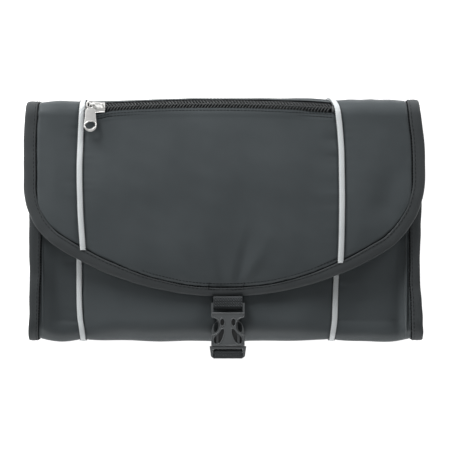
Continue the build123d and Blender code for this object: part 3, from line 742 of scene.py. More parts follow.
def flap_surface(name, x, u):
    """How far one of the flap's panels stands out at each place."""
    left, right, top, seed, side = flap_panels[name]
    low = flap_low(panel_tuck)
    height = flap_fullness(x, u, left, right, low, top, seed)
    from_tape = u - low(x) - panel_tuck
    if name == "flap_centre":
        height = height + strap_folds(x, u) * ease_in(from_tape, 0.5, 9)
        # Small puckers lie beside the right-hand cord.
        from_right = np.maximum(right(u) - x, 0)
        pucker = 0.6 * np.exp(-from_right / 10) * np.clip(from_right / 3, 0, 1)
        pucker = pucker * unevenness(x * 0.12, u, 171, 12)
        height = height + pucker * (0.6 + 0.4 * unevenness(0 * x, u, 172, 60))
        # The zip's hem is turned under, so it is thicker, with a dip along each of its two rows of stitches.
        hem = top(x) - u
        height = height - 0.45 * mound(hem - 3.3, 0.55) - 0.22 * mound(hem - 1.5, 0.4)
        clear_of_slider = 1 - ease_in(x, 50, 62)  # the hem is lower where the slider ends its run
        height = height + 0.55 * (1 - ease_in(hem, 3.4, 6.0)) * (0.3 + 0.7 * clear_of_slider)
        height = height + 0.6 * (1 - np.clip(hem / 3.3, 0, 1)) * clear_of_slider
    if name == "flap_right":
        # The cloth is slack here: a long slanting dent, a small hollow below it and a swell lower still.
        dent_x, dent_u, lean, slant = 112, 21, 0.943, 0.33
        off, on = lean * (x - dent_x) - slant * (u - dent_u), slant * (x - dent_x) + lean * (u - dent_u)
        height = height - 2.1 * np.exp(-(((off - 3) / 10) ** 2) - (on / 27) ** 2)
        height = height - 0.7 * np.exp(-((x - 117) ** 2 + (u - 7) ** 2 * 0.5) / 90)
        height = height + 0.5 * np.exp(-((x - 104) ** 2 * 0.5 + (u + 6) ** 2) / 110)
    if side:
        height = height - 1.15 * mound(132.1 - np.abs(x), 1.3)
    # Along the bottom the cloth dips under the topstitch and swells beside it. All round, it dips at the tape.
    topstitch = 1 - ease_in(np.abs(x - 12), 66, 96)
    height = height - topstitch * 0.42 * mound(from_tape - 3.0, 0.55)
    height = height + topstitch * 0.22 * mound(from_tape - 1.7, 0.8)
    return height - 1.15 * mound(from_tape, 1.3)


for name, (left, right, top, _, side) in flap_panels.items():
    low = flap_low(panel_tuck)
    x, u = laid_out(left, right, low, top, 1.35)
    if side == "left":
        x = left(u) + (right(u) - left(u)) * np.linspace(0, 1, x.shape[1]) ** 1.5
    if side == "right":
        x = right(u) - (right(u) - left(u)) * np.linspace(1, 0, x.shape[1]) ** 1.5
    if side:
        u = low(x) + (top(x) - low(x)) * np.linspace(0, 1, x.shape[0])[:, None]
    cloth = cloth_piece(f"{name}_cloth", x, u, over_the_top, flap_surface(name, x, u), 0.7, coated_nylon)
    if side:
        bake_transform(cloth)
        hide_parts(f"{name}_panel", f"spine_{side}_panel")
    else:
        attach(cloth, "flap")
        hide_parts("flap_centre_panel")

# The same three panels go on down the spine, which is flat between its two folds.
for name in ("left", "right", "centre"):
    left, right = panel_edges[name]
    x, u = laid_out(left, right, spine_middle - 0.02, spine_end, 2.2)
    from_side = np.minimum(x - left(u), right(u) - x)
    height = 0.16 * unevenness(x, u, 190, 34) - 0.25 - 0.2 * np.exp(-from_side / 2)
    cloth = cloth_piece(f"spine_{name}_low_cloth", x, u, over_the_top, height, 0.7, coated_nylon)
    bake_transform(cloth)
    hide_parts(f"spine_{name}_panel")
upper_hem = 84.3
x, u = laid_out(*panel_edges["centre"], lambda x: upper_hem + zip_bow(x), spine_middle, 1.5)
hem = u - upper_hem - zip_bow(x)
height = 0.12 + 0.08 * unevenness(x, u, 190, 34) + 0.12 * mound(hem, 0.9) - 0.14 * mound(hem - 2.2, 0.4)
height = height - 0.4 * ease_in(u, 90, spine_middle)
cloth = cloth_piece("spine_centre_cloth", x, u, over_the_top, height, 0.55, coated_nylon)
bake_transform(cloth)
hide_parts("spine_centre_panel")

# ---------------------------------------------------------------------------------------------
# The flap's lining is the same polyester as inside the pouch. A second sheet behind the panels makes
# the flat pocket that the zip opens. It hangs loose between the panels and the lining.
for name, u0, u1, fold, stands_for in (
        ("flap_lining_cloth", flap_low(1.0), spine_middle, upper_fold, ["flap_lining"]),
        ("spine_lining_cloth", spine_middle, 128.0, lower_fold, ["spine_centre_panel"])):
    x, u = laid_out(-132.6, 132.6, u0, u1, 3.0)
    inside = -2.75 + 1.75 * ease_in(u, 82, 94) - 0.1 * np.abs(unevenness(x, u, 205, 60))
    cloth = cloth_piece(name, x, u, over_the_top, inside, 0.45, lining_cloth)
    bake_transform(cloth)
    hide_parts(*stands_for)
x, u = laid_out(beside(flap_cord_left, 1.0), beside(flap_cord_right, -1.0), -22.8, 86.0, 3.5)
hangs = -2.2 + 0.08 * unevenness(x, u, 207, 50)
cloth = cloth_piece("pocket_sheet", x, u, over_the_top, hangs, 0.35, lining_cloth)
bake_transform(cloth)
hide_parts("flap_pocket_sheet")

# ---------------------------------------------------------------------------------------------
# The flap's piping is the same pale cord, sewn between the panels with the same small stitches. It goes
# on over the top corner and down the spine, and flattens where the folds press it.
rows_sewn, low_rows = [], []
for name, cord in (("left", flap_cord_left), ("right", flap_cord_right)):
    end = flap_low(0.8)(np.array([cord(-30.0)]))[0]
    for part, u in (("", np.arange(end, spine_middle + 0.5, 0.8)),
                    ("_low", np.arange(spine_middle, spine_end, 0.8))):
        u[-1] = spine_middle if part == "" else u[-1]
        x = cord(u)
        lift = 0.12 - 0.35 * (1 - ease_in(u - end, 0, 6)) + 0.35 * ease_in(u, 74, 82)
        lift = lift - 0.8 * ease_in(u, 93, 106) - 0.8 * ease_in(u, 118, 128)
        piece = swept(f"flap_piping_{name}{part}_cord", x, u, np.ones_like(u), 0 * u, cord_section,
                      over_the_top, piping_cover, lift=lift)
        fold = lower_fold if part else upper_fold
        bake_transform(piece)
        spine_node = f"spine_piping_{name}"
        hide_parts(*([spine_node] if part else [f"flap_piping_{name}", spine_node]))
        for side in (-1, 1):
            row = stitches(f"row_{name}{part}_{side}", x + side * cord_stitch_out, u, over_the_top,
                           lift + cord_stitch_up, **cord_stitch)
            (low_rows if part else rows_sewn).append(row)
for rows, name, fold in ((rows_sewn, "flap_piping_stitches", upper_fold),
                         (low_rows, "spine_piping_stitches", lower_fold)):
    sewn_on(name, rows, blend=fold)

# ---------------------------------------------------------------------------------------------
# The flap's edge is bound all round with woven tape, folded over the raw edge and stitched close to
# its inner side. It turns a little under at the bottom, and it ends in the spine's lower fold.


def round_the_edge(step):
    """Places along the flap's outer edge, from the spine's left end round to its right, with the way in."""
    side = np.arange(spine_middle, left_u, -step)
    a = np.radians(np.arange(180, 237.0, math.degrees(step / left_round)))
    b = np.radians(np.arange(-123.12, -59.27, math.degrees(step / bottom_round)))
    c = np.radians(np.arange(-59.27, 0, math.degrees(step / right_round)))
    other = np.arange(right_u, spine_middle + 0.01, step)
    x = np.concatenate([-flap_half + 0 * side, left_x + left_round * np.cos(a), bottom_round * np.cos(b),
                        right_x + right_round * np.cos(c), flap_half + 0 * other])
    u = np.concatenate([side, left_u + left_round * np.sin(a), bottom_u + bottom_round * np.sin(b),
                        right_u + right_round * np.sin(c), other])
    u[-1] = spine_middle
    in_x = np.concatenate([1 + 0 * side, -np.cos(a), -np.cos(b), -np.cos(c), -1 + 0 * other])
    in_u = np.concatenate([0 * side, -np.sin(a), -np.sin(b), -np.sin(c), 0 * other])
    return x, u, in_x, in_u


tape_fold = [(1.0, -0.95), (0.99, -0.1), (0.965, 0.22), (0.91, 0.34), (0.81, 0.12), (0.68, 0.30),
             (0.45, 0.36), (0.24, 0.22), (0.10, -0.1), (0.03, -0.6), (0.0, -1.4), (0.03, -2.2),
             (0.10, -2.8), (0.3, -3.2), (0.7, -3.3), (0.97, -3.2)]
x, u, in_x, in_u = round_the_edge(1.4)
along = np.concatenate([[0], np.cumsum(np.hypot(np.diff(x), np.diff(u)))])
wide = tape_width(x) + 0.12 * unevenness(along, 0 * along, 221, 24)
ruffle = 0.14 * unevenness(along, 0 * along, 223, 15) + 0.12 * unevenness(along, 0 * along, 224, 48)
waver = 0.12 * unevenness(along, 0 * along, 226, 20)
x, u = x + in_x * waver, u + in_u * waver
ruffle = ruffle + 0.6 * mound(u - 91, 4) + 0.45 * np.exp(-(((x - 1.5) / 13) ** 6)) * (u < 0)
flap_tape = swept("flap_tape", x, u, in_x, in_u, tape_fold, over_the_top, binding_tape, wide, ruffle)
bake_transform(flap_tape)
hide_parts("flap_binding", "spine_binding_left", "spine_binding_right")
row_x, row_u = x + in_x * wide * stitch_share, u + in_u * wide * stitch_share
row = stitches("row", row_x, row_u, over_the_top, 0.15 + ruffle, **tape_stitch)
# The dense dark row just inside the tape is a painted shadow line. Real stitches lie there, but the near-solid
# dark strip stands in for the shade where the panel drops under the tape's edge.
row_x, row_u = x + in_x * (wide + 0.4), u + in_u * (wide + 0.4)
painted_shade_line = stitches("painted_shade_line", row_x, row_u, over_the_top, ruffle - 1.0,
                  pitch=1.9, length=1.8, wide=1.05, material=dark_thread_and_shade)
near = (u < 20) & (np.abs(x - 12) < 74)
row_x, row_u = (x + in_x * (wide + 3.0))[near], (u + in_u * (wide + 3.0))[near]
on_cloth = flap_surface("flap_centre", row_x, row_u) + 0.14
topstitch = stitches("topstitch", row_x, row_u, over_the_top, on_cloth,
                     pitch=2.4, length=2.0, wide=0.62, material=dark_thread_and_shade)

# Across the strap's sewn end runs a heavier row, with a short tick down each side of the strap.
end_x = np.linspace(-10.5, 13.0, 25)
end_u = flap_low(0.0)(end_x) - 1.5 - 0.5 * np.cos(end_x / 4)
strap_end = stitches("strap_end", end_x, end_u, over_the_top, 0.42 + 0 * end_x,
                     pitch=1.9, length=1.5, wide=0.75, material=dark_thread_and_shade)
ticks = []
for side_x in (-11.0, 13.4):
    tick_u = np.linspace(-2.2, 4.2, 8) + flap_low(0.0)(np.array([side_x]))[0]
    tick_x = side_x + 0.12 * (tick_u + 47)
    on_cloth = flap_surface("flap_centre", tick_x, np.maximum(tick_u, -47.0)) + 0.15
    ticks.append(stitches("tick", tick_x, tick_u, over_the_top, np.maximum(on_cloth, 0.3 * (tick_u < -46)),
                          pitch=1.9, length=1.6, wide=0.7, material=dark_thread_and_shade))
sewn_on("flap_tape_stitches_and_shade_line", [row, painted_shade_line, topstitch, strap_end, *ticks], blend=upper_fold)

# Down the spine the same tape goes on, thinner where it is caught in the lower fold.
spine_tape_wide, rows_sewn = 8.6, []
spine_fold = [(share, h * (0.5 if h < 0 else 1)) for share, h in tape_fold]
for side, name in ((-1, "left"), (1, "right")):
    u = np.arange(spine_middle, spine_end, 1.0)
    x = side * flap_half + 0 * u
    piece = swept(f"spine_tape_{name}", x, u, -side + 0 * u, 0 * u, spine_fold, over_the_top, binding_tape,
                  spine_tape_wide, -0.45 * ease_in(u, 118, 128))
    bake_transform(piece)
    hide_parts(f"spine_binding_{name}")
    rows_sewn.append(stitches(f"row_{name}", x - side * spine_tape_wide * stitch_share, u, over_the_top,
                              0.19 + 0 * u, **tape_stitch))
sewn_on("spine_tape_stitches", rows_sewn, blend=lower_fold)

# ---------------------------------------------------------------------------------------------
# The zip runs across the flap's top corner. Two knitted tapes lie under the turned hems, and on each
# a nylon coil is sewn down, whose loops reach past the middle and catch between the other side's.
zip_line = 78.774
zip_cloth = woven("zip_cloth", dark=(0.008, 0.0085, 0.009), light=(0.015, 0.016, 0.017),
                  pitch=0.55, pitch_u=0.4, depth=0.08, rough=0.75, sheen=0.0, gloss=0.05)
for name, low, high in (("lower", -6.2, -0.35), ("upper", 0.35, 7.0)):
    x, u = laid_out(beside(flap_cord_left, 1.2), beside(flap_cord_right, -1.2),
                    lambda x: zip_line + low + zip_bow(x), lambda x: zip_line + high + zip_bow(x), 1.0)
    height = -0.62 + 0.05 * unevenness(x, u, 231, 26)
    tape = cloth_piece(f"zip_tape_{name}_cloth", x, u, over_the_top, height, 0.42, zip_cloth)
    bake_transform(tape)
    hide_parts(f"zip_tape_{name}")

nylon_coil, shader = unwoven("nylon_coil", dark=(0.011, 0.0125, 0.013), light=(0.032, 0.0345, 0.036),
                             drift=900.0, rough=(0.26, 0.42), handled=(1500.0,), skin=(3000.0,),
                             relief=(0.3, 0.05))
shader.inputs["Specular IOR Level"].default_value = 0.25

# Each loop is drawn as (distance across, height, girth), from the tape up over the middle and back.
tooth_pitch, coil_thread, coil_start = 2.2, 0.47, -95.6
loop = [(2.85, -0.45, 1.0), (2.95, 0.30, 1.0), (2.5, 0.82, 1.0), (1.6, 0.95, 0.95), (0.6, 0.92, 1.05),
        (-0.1, 0.78, 1.35), (-0.5, 0.35, 1.15), (-0.25, -0.35, 0.9)]
across, rise, girth = np.array(loop).T
for side, name in ((-1, "lower"), (1, "upper")):
    centres = np.arange(coil_start + (tooth_pitch / 2 if side > 0 else 0), 75.0, tooth_pitch)
    x = centres[:, None] - 0.72 * across[None, :]
    u = zip_line + zip_bow(x) + side * across[None, :]
    middle = over_the_top(x, u, rise[None, :] + 0 * x)
    out = over_the_top(x, u, rise[None, :] + 1 + 0 * x) - middle
    out /= np.linalg.norm(out, axis=-1, keepdims=True)
    ahead = np.gradient(middle, axis=1)
    ahead /= np.linalg.norm(ahead, axis=-1, keepdims=True)
    aside = np.cross(ahead, out)
    aside /= np.linalg.norm(aside, axis=-1, keepdims=True)
    out = np.cross(aside, ahead)
    turns = np.arange(6) * math.pi / 3
    ring = [middle + (aside * math.cos(t) + out * math.sin(t)) * girth[None, :, None] * coil_thread * mm
            for t in turns]
    points = np.stack(ring, 2)
    count, stations, sides = points.shape[:3]
    _, tooth_faces = tube_faces(stations, sides)
    faces = [[tooth * stations * sides + k for k in face] for tooth in range(count) for face in tooth_faces]
    nowhere = np.zeros((count * stations * sides, 2))
    coil = outward(make_piece(f"zip_coil_{name}_loops", points, faces, nowhere, nylon_coil, 80))
    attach(coil, "flap")
    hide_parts(f"zip_coil_{name}")
    x = np.arange(coil_start, 75.4, 0.8)
    row = stitches("row", x, zip_line + side * 2.0 + zip_bow(x), over_the_top, 1.18,
                   pitch=tooth_pitch, length=1.3, wide=0.30, material=dark_thread_and_shade)
    sewn_on(f"zip_coil_{name}_thread", [row], body="flap")

# A moulded stop closes each end of the coils, and two rows of stitches hold the lower hem, one the upper.
block = [(-0.95, -0.55), (-1.0, 0.5), (-0.7, 0.95), (0, 1.05), (0.7, 0.95), (1.0, 0.5), (0.95, -0.55)]
for side, name, cord in ((1, "left", flap_cord_left), (-1, "right", flap_cord_right)):
    u = zip_line + zip_bow(cord(79.0)) + np.linspace(-2.9, 2.9, 13)
    x = cord(79.0) + side * 2.75 + 0 * u
    rounded = 1 - 0.35 * np.abs(np.linspace(-1, 1, 13)) ** 6
    stop = swept(f"zip_{name}_stop", x, u, 1 + 0 * u, 0 * u, block, over_the_top, nylon_coil,
                 rounded, rounded * 0.4 - 0.4)
    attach(stop, "flap")
    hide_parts(f"zip_stop_{name}")
hem_rows = []
for inset in (-3.3, -1.5, 10.85):
    x = np.arange(flap_cord_left(76.0) + 2.6, flap_cord_right(76.0) - 2.6, 1.0)
    u = hem_line(x) + inset
    height = flap_surface("flap_centre", x, u) + 0.14 if inset < 0 else 0.10 + 0 * x
    hem_rows.append(stitches("row", x, u, over_the_top, height, pitch=2.4, length=1.9, wide=0.46,
                             material=dark_thread_and_shade))
sewn_on("zip_hem_stitches", hem_rows, blend=upper_fold)

# ---------------------------------------------------------------------------------------------
# The slider is a die-cast body plated in pale nickel: a crowned plate with two turned-down sides,
# and a bridge that holds the pull. It slides along both coils.
nickel, shader = unwoven("pale_nickel", dark=(0.33, 0.328, 0.32), light=(0.45, 0.447, 0.437),
                         drift=420.0, rough=(0.26, 0.46), handled=(700.0, 5.0), skin=(1400.0, 5.0),
                         relief=(0.22, 0.05))
shader.inputs["Metallic"].default_value = 1.0

# It sits on the round top corner of the flap, turned with the cloth there.
zip_turn, corner_round = math.radians(61.0), 11.5
zip_top = (72.7 + corner_round * math.cos(zip_turn), 38.0 + corner_round * math.sin(zip_turn))


def on_the_zip(a, v, h):
    """A place on the slider: a along the zip from its middle, v across it and h above the tapes."""
    y = zip_top[0] + v * math.sin(zip_turn) + h * math.cos(zip_turn)
    z = zip_top[1] - v * math.cos(zip_turn) + h * math.sin(zip_turn)
    return np.stack(np.broadcast_arrays(slider_x + a, y, z), -1) * mm


def cast_body(name, stations, halves, section, material):
    """A cast channel carried along the zip, whose width changes from station to station."""
    v, h = np.array(section, float).T
    a, w = np.array(stations, float)[:, None], np.array(halves, float)[:, None]
    points = on_the_zip(a, v[None, :] * w, h[None, :] + 0 * w)
    place, faces = tube_faces(*points.shape[:2])
    faces, around = faces[:-2], place.shape[1]
    for row in (place[0], place[-1]):
        for k in range(around // 2 - 1):
            faces.append([row[k], row[k + 1], row[around - 2 - k], row[around - 1 - k]])
    return smoothed(outward(make_piece(name, points, faces, np.zeros((place.size, 2)), material, 180)))


def smoothed(piece):
    """Rounds a coarse casting with two levels of subdivision."""
    smooth = piece.modifiers.new("cast_edges", "SUBSURF")
    smooth.levels = smooth.render_levels = 2
    return piece


outside = [(1.0, 0.25), (1.02, 1.1), (0.97, 1.95), (0.80, 2.38), (0.5, 2.52), (0.17, 2.6)]
within = [(0.17, 1.62), (0.5, 1.62), (0.72, 1.6), (0.80, 1.35), (0.81, 0.8), (0.81, 0.25)]
channel = outside + [(-v, h) for v, h in reversed(outside)] + [(-v, h) for v, h in reversed(within)] + within
body = cast_body("slider_body", [-5.5, -5.4, -4.8, -3.4, -1.6, 0.5, 2.6, 4.2, 5.3, 5.5],
                 [4.1, 4.4, 4.7, 4.8, 4.6, 4.2, 3.95, 3.9, 3.9, 3.7], channel, nickel)
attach(body, "zip_slider")
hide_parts("zip_slider")


def bent_bar(name, path, half_wide, half_thick, place, material):
    """A bar bent along a path of (along, height) points, wider than it is thick."""
    path = np.array(path, float)
    ahead = np.gradient(path, axis=0)
    ahead /= np.linalg.norm(ahead, axis=1)[:, None]
    turns = np.arange(10) * math.pi / 5
    v = np.cos(turns)[None, :] * half_wide
    n = np.sin(turns)[None, :] * half_thick
    a = path[:, 0:1] - ahead[:, 1:2] * n
    h = path[:, 1:2] + ahead[:, 0:1] * n
    points = place(a, v + 0 * a, h)
    order, faces = tube_faces(*points.shape[:2])
    return smoothed(outward(make_piece(name, points, faces, np.zeros((order.size, 2)), material, 180)))


arch = [(-4.6, 2.0), (-4.62, 3.6), (-4.55, 5.2), (-4.1, 6.05), (-2.9, 6.42), (-0.6, 6.5), (1.8, 6.36),
        (3.2, 5.9), (3.95, 4.9), (4.15, 3.4), (4.15, 2.0)]
bridge = bent_bar("slider_bridge", arch, 0.95, 0.46, on_the_zip, nickel)
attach(bridge, "zip_slider")
nose = [(-5.0, 2.0), (-5.0, 0.6), (-5.0, -0.6), (-4.9, -1.1)]
post = bent_bar("slider_post", nose, 0.2, 0.5, on_the_zip, nickel)
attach(post, "zip_slider")
a, v = np.meshgrid(np.linspace(-5.5, 5.5, 12), np.linspace(-4.2, 4.2, 11))
under = cloth_piece("slider_under_plate", a, v, lambda a, v, h: over_the_top(a + slider_x, zip_line - v, h),
                    -1.25 + 0 * a, 0.65, nickel)
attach(under, "zip_slider")

# ---------------------------------------------------------------------------------------------
# The pull is a stamped nickel tab. A ring at its top is threaded on the bridge, the tab widens
# downward, and a raised rim goes round the oval eye at its end.


def flat_plate(name, rings, thick, soft, material):
    """A plate cut to an outline with holes in it, with softened edges, lying flat round the origin."""
    curve = bpy.data.curves.new(name, "CURVE")
    curve.dimensions, curve.fill_mode = "2D", "BOTH"
    curve.extrude = (thick / 2 - soft) * mm
    curve.bevel_depth, curve.bevel_resolution = soft * mm, 3
    curve.offset = -soft * mm
    for ring in rings:
        line = curve.splines.new("POLY")
        line.points.add(len(ring) - 1)
        flat = np.column_stack([np.array(ring) * mm, np.zeros(len(ring)), np.ones(len(ring))])
        line.points.foreach_set("co", flat.ravel())
        line.use_cyclic_u = True
    drawn = put_in_scene(name + "_outline", curve)
    bpy.context.view_layer.update()
    mesh = bpy.data.meshes.new_from_object(drawn.evaluated_get(bpy.context.evaluated_depsgraph_get()))
    bpy.data.objects.remove(drawn)
    work = bmesh.new()
    work.from_mesh(mesh)
    bmesh.ops.remove_doubles(work, verts=work.verts, dist=1e-6)
    bmesh.ops.recalc_face_normals(work, faces=work.faces)
    work.to_mesh(mesh)
    work.free()
    mesh.materials.clear()
    mesh.materials.append(material)
    mesh.shade_smooth()
    mesh.set_sharp_from_angle(angle=math.radians(40))
    return put_in_scene(name, mesh)


def arc(cx, cy, rx, ry, start, end, count, turn=0.0):
    """Points round part of an ellipse."""
    t = np.radians(np.linspace(start, end, count))
    c, s = math.cos(math.radians(turn)), math.sin(math.radians(turn))
    ex, ey = rx * np.cos(t), ry * np.sin(t)
    return [(cx + a * c - b * s, cy + a * s + b * c) for a, b in zip(ex, ey)]


eye_y = -14.7
right_edge = [(4.3, -12.9), (3.85, -9.0), (3.5, -5.0), (3.35, -3.5), (2.75, -2.85)]
tab = arc(0, 0, 3.15, 3.15, -48, 228, 40) + [(-x, y) for x, y in reversed(right_edge)]
tab += arc(0, eye_y, 4.55, 4.55, 172, 368, 44) + right_edge
eye = arc(0, eye_y, 3.5, 2.5, 360, 0, 49, 12)[:-1]
ring_hole = arc(0, 0, 1.95, 1.95, 360, 0, 33)[:-1]
pull = flat_plate("pull_tab", [tab, ring_hole, eye], 1.0, 0.28, nickel)
pull_place = Matrix.Translation((-93.7 * mm, 80.457 * mm, 51.994 * mm))
pull_place = pull_place @ Matrix.Rotation(math.radians(-12), 4, "X")
pull.data.transform(pull_place)
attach(pull, "zip_pull")
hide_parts("zip_pull")


def rim_of(name, line, radius, flatten, place, material):
    """A rounded rim standing along a closed line."""
    line = np.array(line, float)
    ahead = np.roll(line, -1, axis=0) - np.roll(line, 1, axis=0)
    ahead /= np.linalg.norm(ahead, axis=1)[:, None]
    aside = np.column_stack([ahead[:, 1], -ahead[:, 0]])
    turns = np.arange(10) * math.pi / 5
    flat = line[:, None, :] + aside[:, None, :] * (np.cos(turns) * radius)[None, :, None]
    height = np.broadcast_to((np.sin(turns) * radius * flatten)[None, :, None], flat.shape[:2] + (1,))
    points = np.concatenate([flat, height], -1)
    order = np.arange(flat.shape[0] * len(turns)).reshape(-1, len(turns))
    after = np.roll(order, -1, 1)
    faces = np.stack([order, after, np.roll(after, -1, 0), np.roll(order, -1, 0)], -1)
    faces, nowhere = faces.reshape(-1, 4).tolist(), np.zeros((order.size, 2))
    piece = outward(make_piece(name, points * mm, faces, nowhere, material, 180))
    piece.data.transform(place)
    return piece


rim = rim_of("pull_eye_rim", arc(0, eye_y, 4.02, 3.05, 0, 360, 57, 12)[:-1], 0.62, 1.25, pull_place, nickel)
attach(rim, "zip_pull")
rim = rim_of("pull_ring_rim", arc(0, 0, 2.55, 2.55, 0, 360, 41)[:-1], 0.58, 1.05, pull_place, nickel)
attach(rim, "zip_pull")

# ---------------------------------------------------------------------------------------------
# The buckle is moulded acetal with a fine spark-eroded skin. Its socket, plug and sprung arms keep
# their CAD shapes, with the mould's small radii added to their edges.
acetal, _ = unwoven("moulded_acetal", dark=(0.036, 0.040, 0.042), light=(0.050, 0.055, 0.058),
                    drift=160.0, rough=(0.34, 0.50), handled=(500.0, 4.0), skin=(4200.0, 2.0),
                    relief=(0.35, 0.04))
mould_radii = {"buckle_socket": 0.38, "buckle_plug": 0.40, "prong_left": 0.2, "prong_right": 0.2}
for node, radius in mould_radii.items():
    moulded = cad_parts[node]
    for held in moulded.material_slots:
        held.material = acetal
    closed = moulded.modifiers.new("closed_edges", "WELD")
    closed.merge_threshold = 0.002 * mm
    flats = moulded.modifiers.new("whole_faces", "DECIMATE")
    flats.decimate_type, flats.angle_limit = "DISSOLVE", math.radians(0.5)
    eased = moulded.modifiers.new("mould_radius", "BEVEL")
    eased.width, eased.segments, eased.limit_method = radius * mm, 3, "ANGLE"
    eased.angle_limit, eased.harden_normals = math.radians(35), False
    eased.use_clamp_overlap = True

# A low rounded ridge runs round the socket's face and round each of its windows.
neck = [(11.15 - 5.9 * math.cos(t), -74.2 + 6.3 * math.sin(t)) for t in np.radians(np.linspace(-88, 88, 23))]
right_side = [(11.1, -87.6), (11.1, -84.0), (11.1, -81.2)] + neck + [(11.1, -67.2), (11.1, -65.2)]
outline = right_side + [(-x, y) for x, y in reversed(right_side)]
ridges = [("socket_edge_ridge", outline, 0.42)]
window = [(2.6, 12.6), (4.5, 12.1), (6.1, 9.6), (8.8, 7.3), (10.2, 5.7), (10.2, 2.5), (9.0, 1.15), (6.7, 1.2),
          (4.7, 2.9), (3.25, 6.1), (2.35, 9.4)]
for _ in range(3):
    window = [(a[0] * w + b[0] * (1 - w), a[1] * w + b[1] * (1 - w))
              for a, b in zip(window, window[1:] + window[:1]) for w in (0.75, 0.25)]
socket_mouth, socket_face = -88.1, 52.68
for side, name in ((-1, "left"), (1, "right")):
    ridges.append((f"socket_small_ridge_{name}", arc(side * 3.9, -71.5, 1.72, 2.85, 0, 360, 33)[:-1], 0.36))
    ridges.append((f"socket_large_ridge_{name}", [(side * x, y + socket_mouth) for x, y in window], 0.36))
on_the_face = Matrix.Translation((strap_x * mm, 0, socket_face * mm))
for name, line, radius in ridges:
    ridge_line = rim_of(name, line, radius, 0.8, on_the_face, acetal)
    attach(ridge_line, "flap")

# ---------------------------------------------------------------------------------------------
# Two lengths of ribbed webbing hold the buckle. One is sewn under the flap and turned round the
# socket's bar. The other is sewn to the outside of the pouch's bottom and turned round the plug's.
webbing_cloth = woven("webbing_cloth", dark=(0.010, 0.0115, 0.012), light=(0.038, 0.042, 0.045),
                      pitch=0.9, pitch_u=0.95, depth=0.30, rough=0.62, sheen=0.08, gloss=0.12, show=0.36)


def strap(name, path, wide, material):
    """Webbing that follows a path of (y, z) points through its middle, with rounded selvedges and ribs."""
    path = np.array(path, float)
    along = np.concatenate([[0], np.cumsum(np.linalg.norm(np.diff(path, axis=0), axis=1))])
    fine = np.arange(0, along[-1], 0.3)
    even = np.hanning(11)[1:-1] / np.hanning(11).sum()
    y, z = (np.convolve(np.pad(np.interp(fine, along, path[:, k]), 4, mode="edge"), even, mode="valid")
            for k in (0, 1))
    turn = np.arctan2(np.gradient(z), np.gradient(y))
    half, thick, rib_pitch, rib_share = wide / 2, 0.52, 1.9, 0.2
    hollow = thick * 0.94
    cut = [(-half, 0), (-half + 0.12, 0.36), (-half + 0.5, thick), (-half * 0.66, hollow),
           (-half * 0.33, thick), (0, hollow), (half * 0.33, thick), (half * 0.66, hollow),
           (half - 0.5, thick), (half - 0.12, 0.36)]
    cut += [(-x, -n) for x, n in cut]
    across, n = np.array(cut).T
    rib = 1 + rib_share * np.sin(fine * 2 * math.pi / rib_pitch)[:, None] * (np.abs(across) < half - 0.2)
    back, up = np.sin(turn)[:, None] * n * rib, np.cos(turn)[:, None] * n * rib
    points = np.stack([strap_x + across[None, :] + 0 * fine[:, None], y[:, None] - back, z[:, None] + up], -1)
    _, faces = tube_faces(*points.shape[:2])
    flat = np.stack(np.broadcast_arrays(across[None, :], fine[:, None]), -1).reshape(-1, 2)
    return outward(make_piece(name, points * mm, faces, flat, material, 60))


def round_bar(y, z, radius, start, end):
    """Points round a bar, by angle in degrees."""
    return [(y + radius * math.cos(math.radians(t)), z + radius * math.sin(math.radians(t)))
            for t in range(start, end, -12)]


upper = [(-39.8, 46.22), (-47, 46.22), (-52.6, 46.24), (-56, 46.7), (-60.0, 47.0), (-61.7, 47.6),
         (-62.3, 49.2), (-61.8, 50.8), (-60.8, 51.2), (-58.0, 51.15), (-55.8, 51.3), (-54.5, 51.1),
         (-54.0, 50.3), (-53.8, 48.6), (-53.4, 47.0)]
upper_strap = strap("flap_strap_webbing", upper, 20.4, webbing_cloth)
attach(upper_strap, "flap")
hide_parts("flap_strap")
lower = [(-85.3, 15.2), (-85.3, 27), (-85.6, 31.2), (-88.2, 37.0), (-92.2, 43.6)]
lower += round_bar(-94.8, 49.2, 1.86, 216, 80)
lower += [(-92.6, 51.1), (-91.3, 50.7), (-90.9, 49.2), (-91.2, 47.9), (-92.4, 46.9)]
lower_strap = strap("bottom_strap_webbing", lower, 20.7, webbing_cloth)
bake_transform(lower_strap)
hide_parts("bottom_strap")

# ---------------------------------------------------------------------------------------------
# The setting is a pale paper floor in a white room, lit by four soft round lamps: one above the top,
# one at each side and a low one in front. From below, the floor lets the view of the back through.


def larger(tree, first, second):
    """The larger of two values."""
    node = tree.nodes.new("ShaderNodeMath")
    node.operation = "MAXIMUM"
    tree.links.new(first, node.inputs[0])
    tree.links.new(second, node.inputs[1])
    return node.outputs[0]


def seen(tree):
    """1 for what is looked at, straight or in a shiny or clear surface, and 0 for what only lights."""
    rays = tree.nodes.new("ShaderNodeLightPath").outputs
    through = larger(tree, rays["Is Glossy Ray"], rays["Is Transmission Ray"])
    return larger(tree, rays["Is Camera Ray"], through)


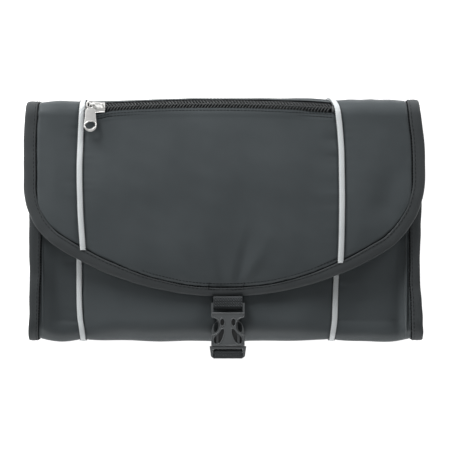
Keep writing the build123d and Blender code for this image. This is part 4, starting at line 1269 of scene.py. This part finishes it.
edge, below = 3, -0.0003
floor_mesh = bpy.data.meshes.new("floor")
floor_corners = [(-edge, -edge, below), (edge, -edge, below), (edge, edge, below), (-edge, edge, below)]
floor_mesh.from_pydata(floor_corners, [], [(0, 1, 2, 3)])
floor = put_in_scene("floor", floor_mesh)
paper = bpy.data.materials.new("pale_paper")
paper.use_nodes = True
tree = paper.node_tree
tree.nodes.clear()
matt, glow, both, clear, one_way, facing, lifted, out = [
    tree.nodes.new(f"ShaderNode{kind}") for kind in (
        "BsdfDiffuse", "Emission", "AddShader", "BsdfTransparent", "MixShader", "NewGeometry", "Math",
        "OutputMaterial")]
matt.inputs["Color"].default_value = (0.80, 0.80, 0.80, 1)
glow.inputs["Color"].default_value = (1, 1, 1, 1)
lifted.operation = "MULTIPLY"
lifted.inputs[1].default_value = 0.85
for source, into in ((seen(tree), lifted.inputs[0]), (lifted.outputs[0], glow.inputs["Strength"]),
                     (matt.outputs[0], both.inputs[0]), (glow.outputs[0], both.inputs[1]),
                     (facing.outputs["Backfacing"], one_way.inputs[0]), (both.outputs[0], one_way.inputs[1]),
                     (clear.outputs[0], one_way.inputs[2]), (one_way.outputs[0], out.inputs["Surface"])):
    tree.links.new(source, into)
floor_mesh.materials.append(paper)
floor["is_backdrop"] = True

world = bpy.data.worlds.new("studio")
world.use_nodes = True
tree = world.node_tree
sky = tree.nodes["Background"]
sky.inputs["Color"].default_value = (1, 1, 1, 1)
level = tree.nodes.new("ShaderNodeMapRange")
level.inputs["To Min"].default_value, level.inputs["To Max"].default_value = 0.16, 1.0
tree.links.new(seen(tree), level.inputs["Value"])
tree.links.new(level.outputs["Result"], sky.inputs["Strength"])
bpy.context.scene.world = world

for name, place, size, power in (
        ("top_lamp", (-0.7, 1.15, 0.54), 0.6, 24.0), ("left_lamp", (-1.25, 0.45, 0.42), 0.5, 8.0),
        ("right_lamp", (1.0, 1.05, 0.44), 0.5, 15.0), ("low_lamp", (0.0, -1.35, 0.30), 0.6, 12.5)):
    lamp = bpy.data.lights.new(name, "AREA")
    lamp.shape, lamp.size, lamp.energy = "DISK", size, power
    stand = put_in_scene(name, lamp)
    stand.location = place
    stand.rotation_euler = (-Vector(place)).to_track_quat("-Z", "Y").to_euler()

# The camera looks straight down on the bag's front from two metres above the flap.
lens = bpy.data.cameras.new("straight_down")
lens.sensor_width, lens.lens = 36.0, 228.6
lens.clip_start, lens.clip_end = 0.1, 20.0
camera = put_in_scene("straight_down", lens)
camera.location = (0.35 * mm, -3.5 * mm, 2.05)
bpy.context.scene.camera = camera
bpy.context.scene.view_settings.view_transform = "Standard"

low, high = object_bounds()
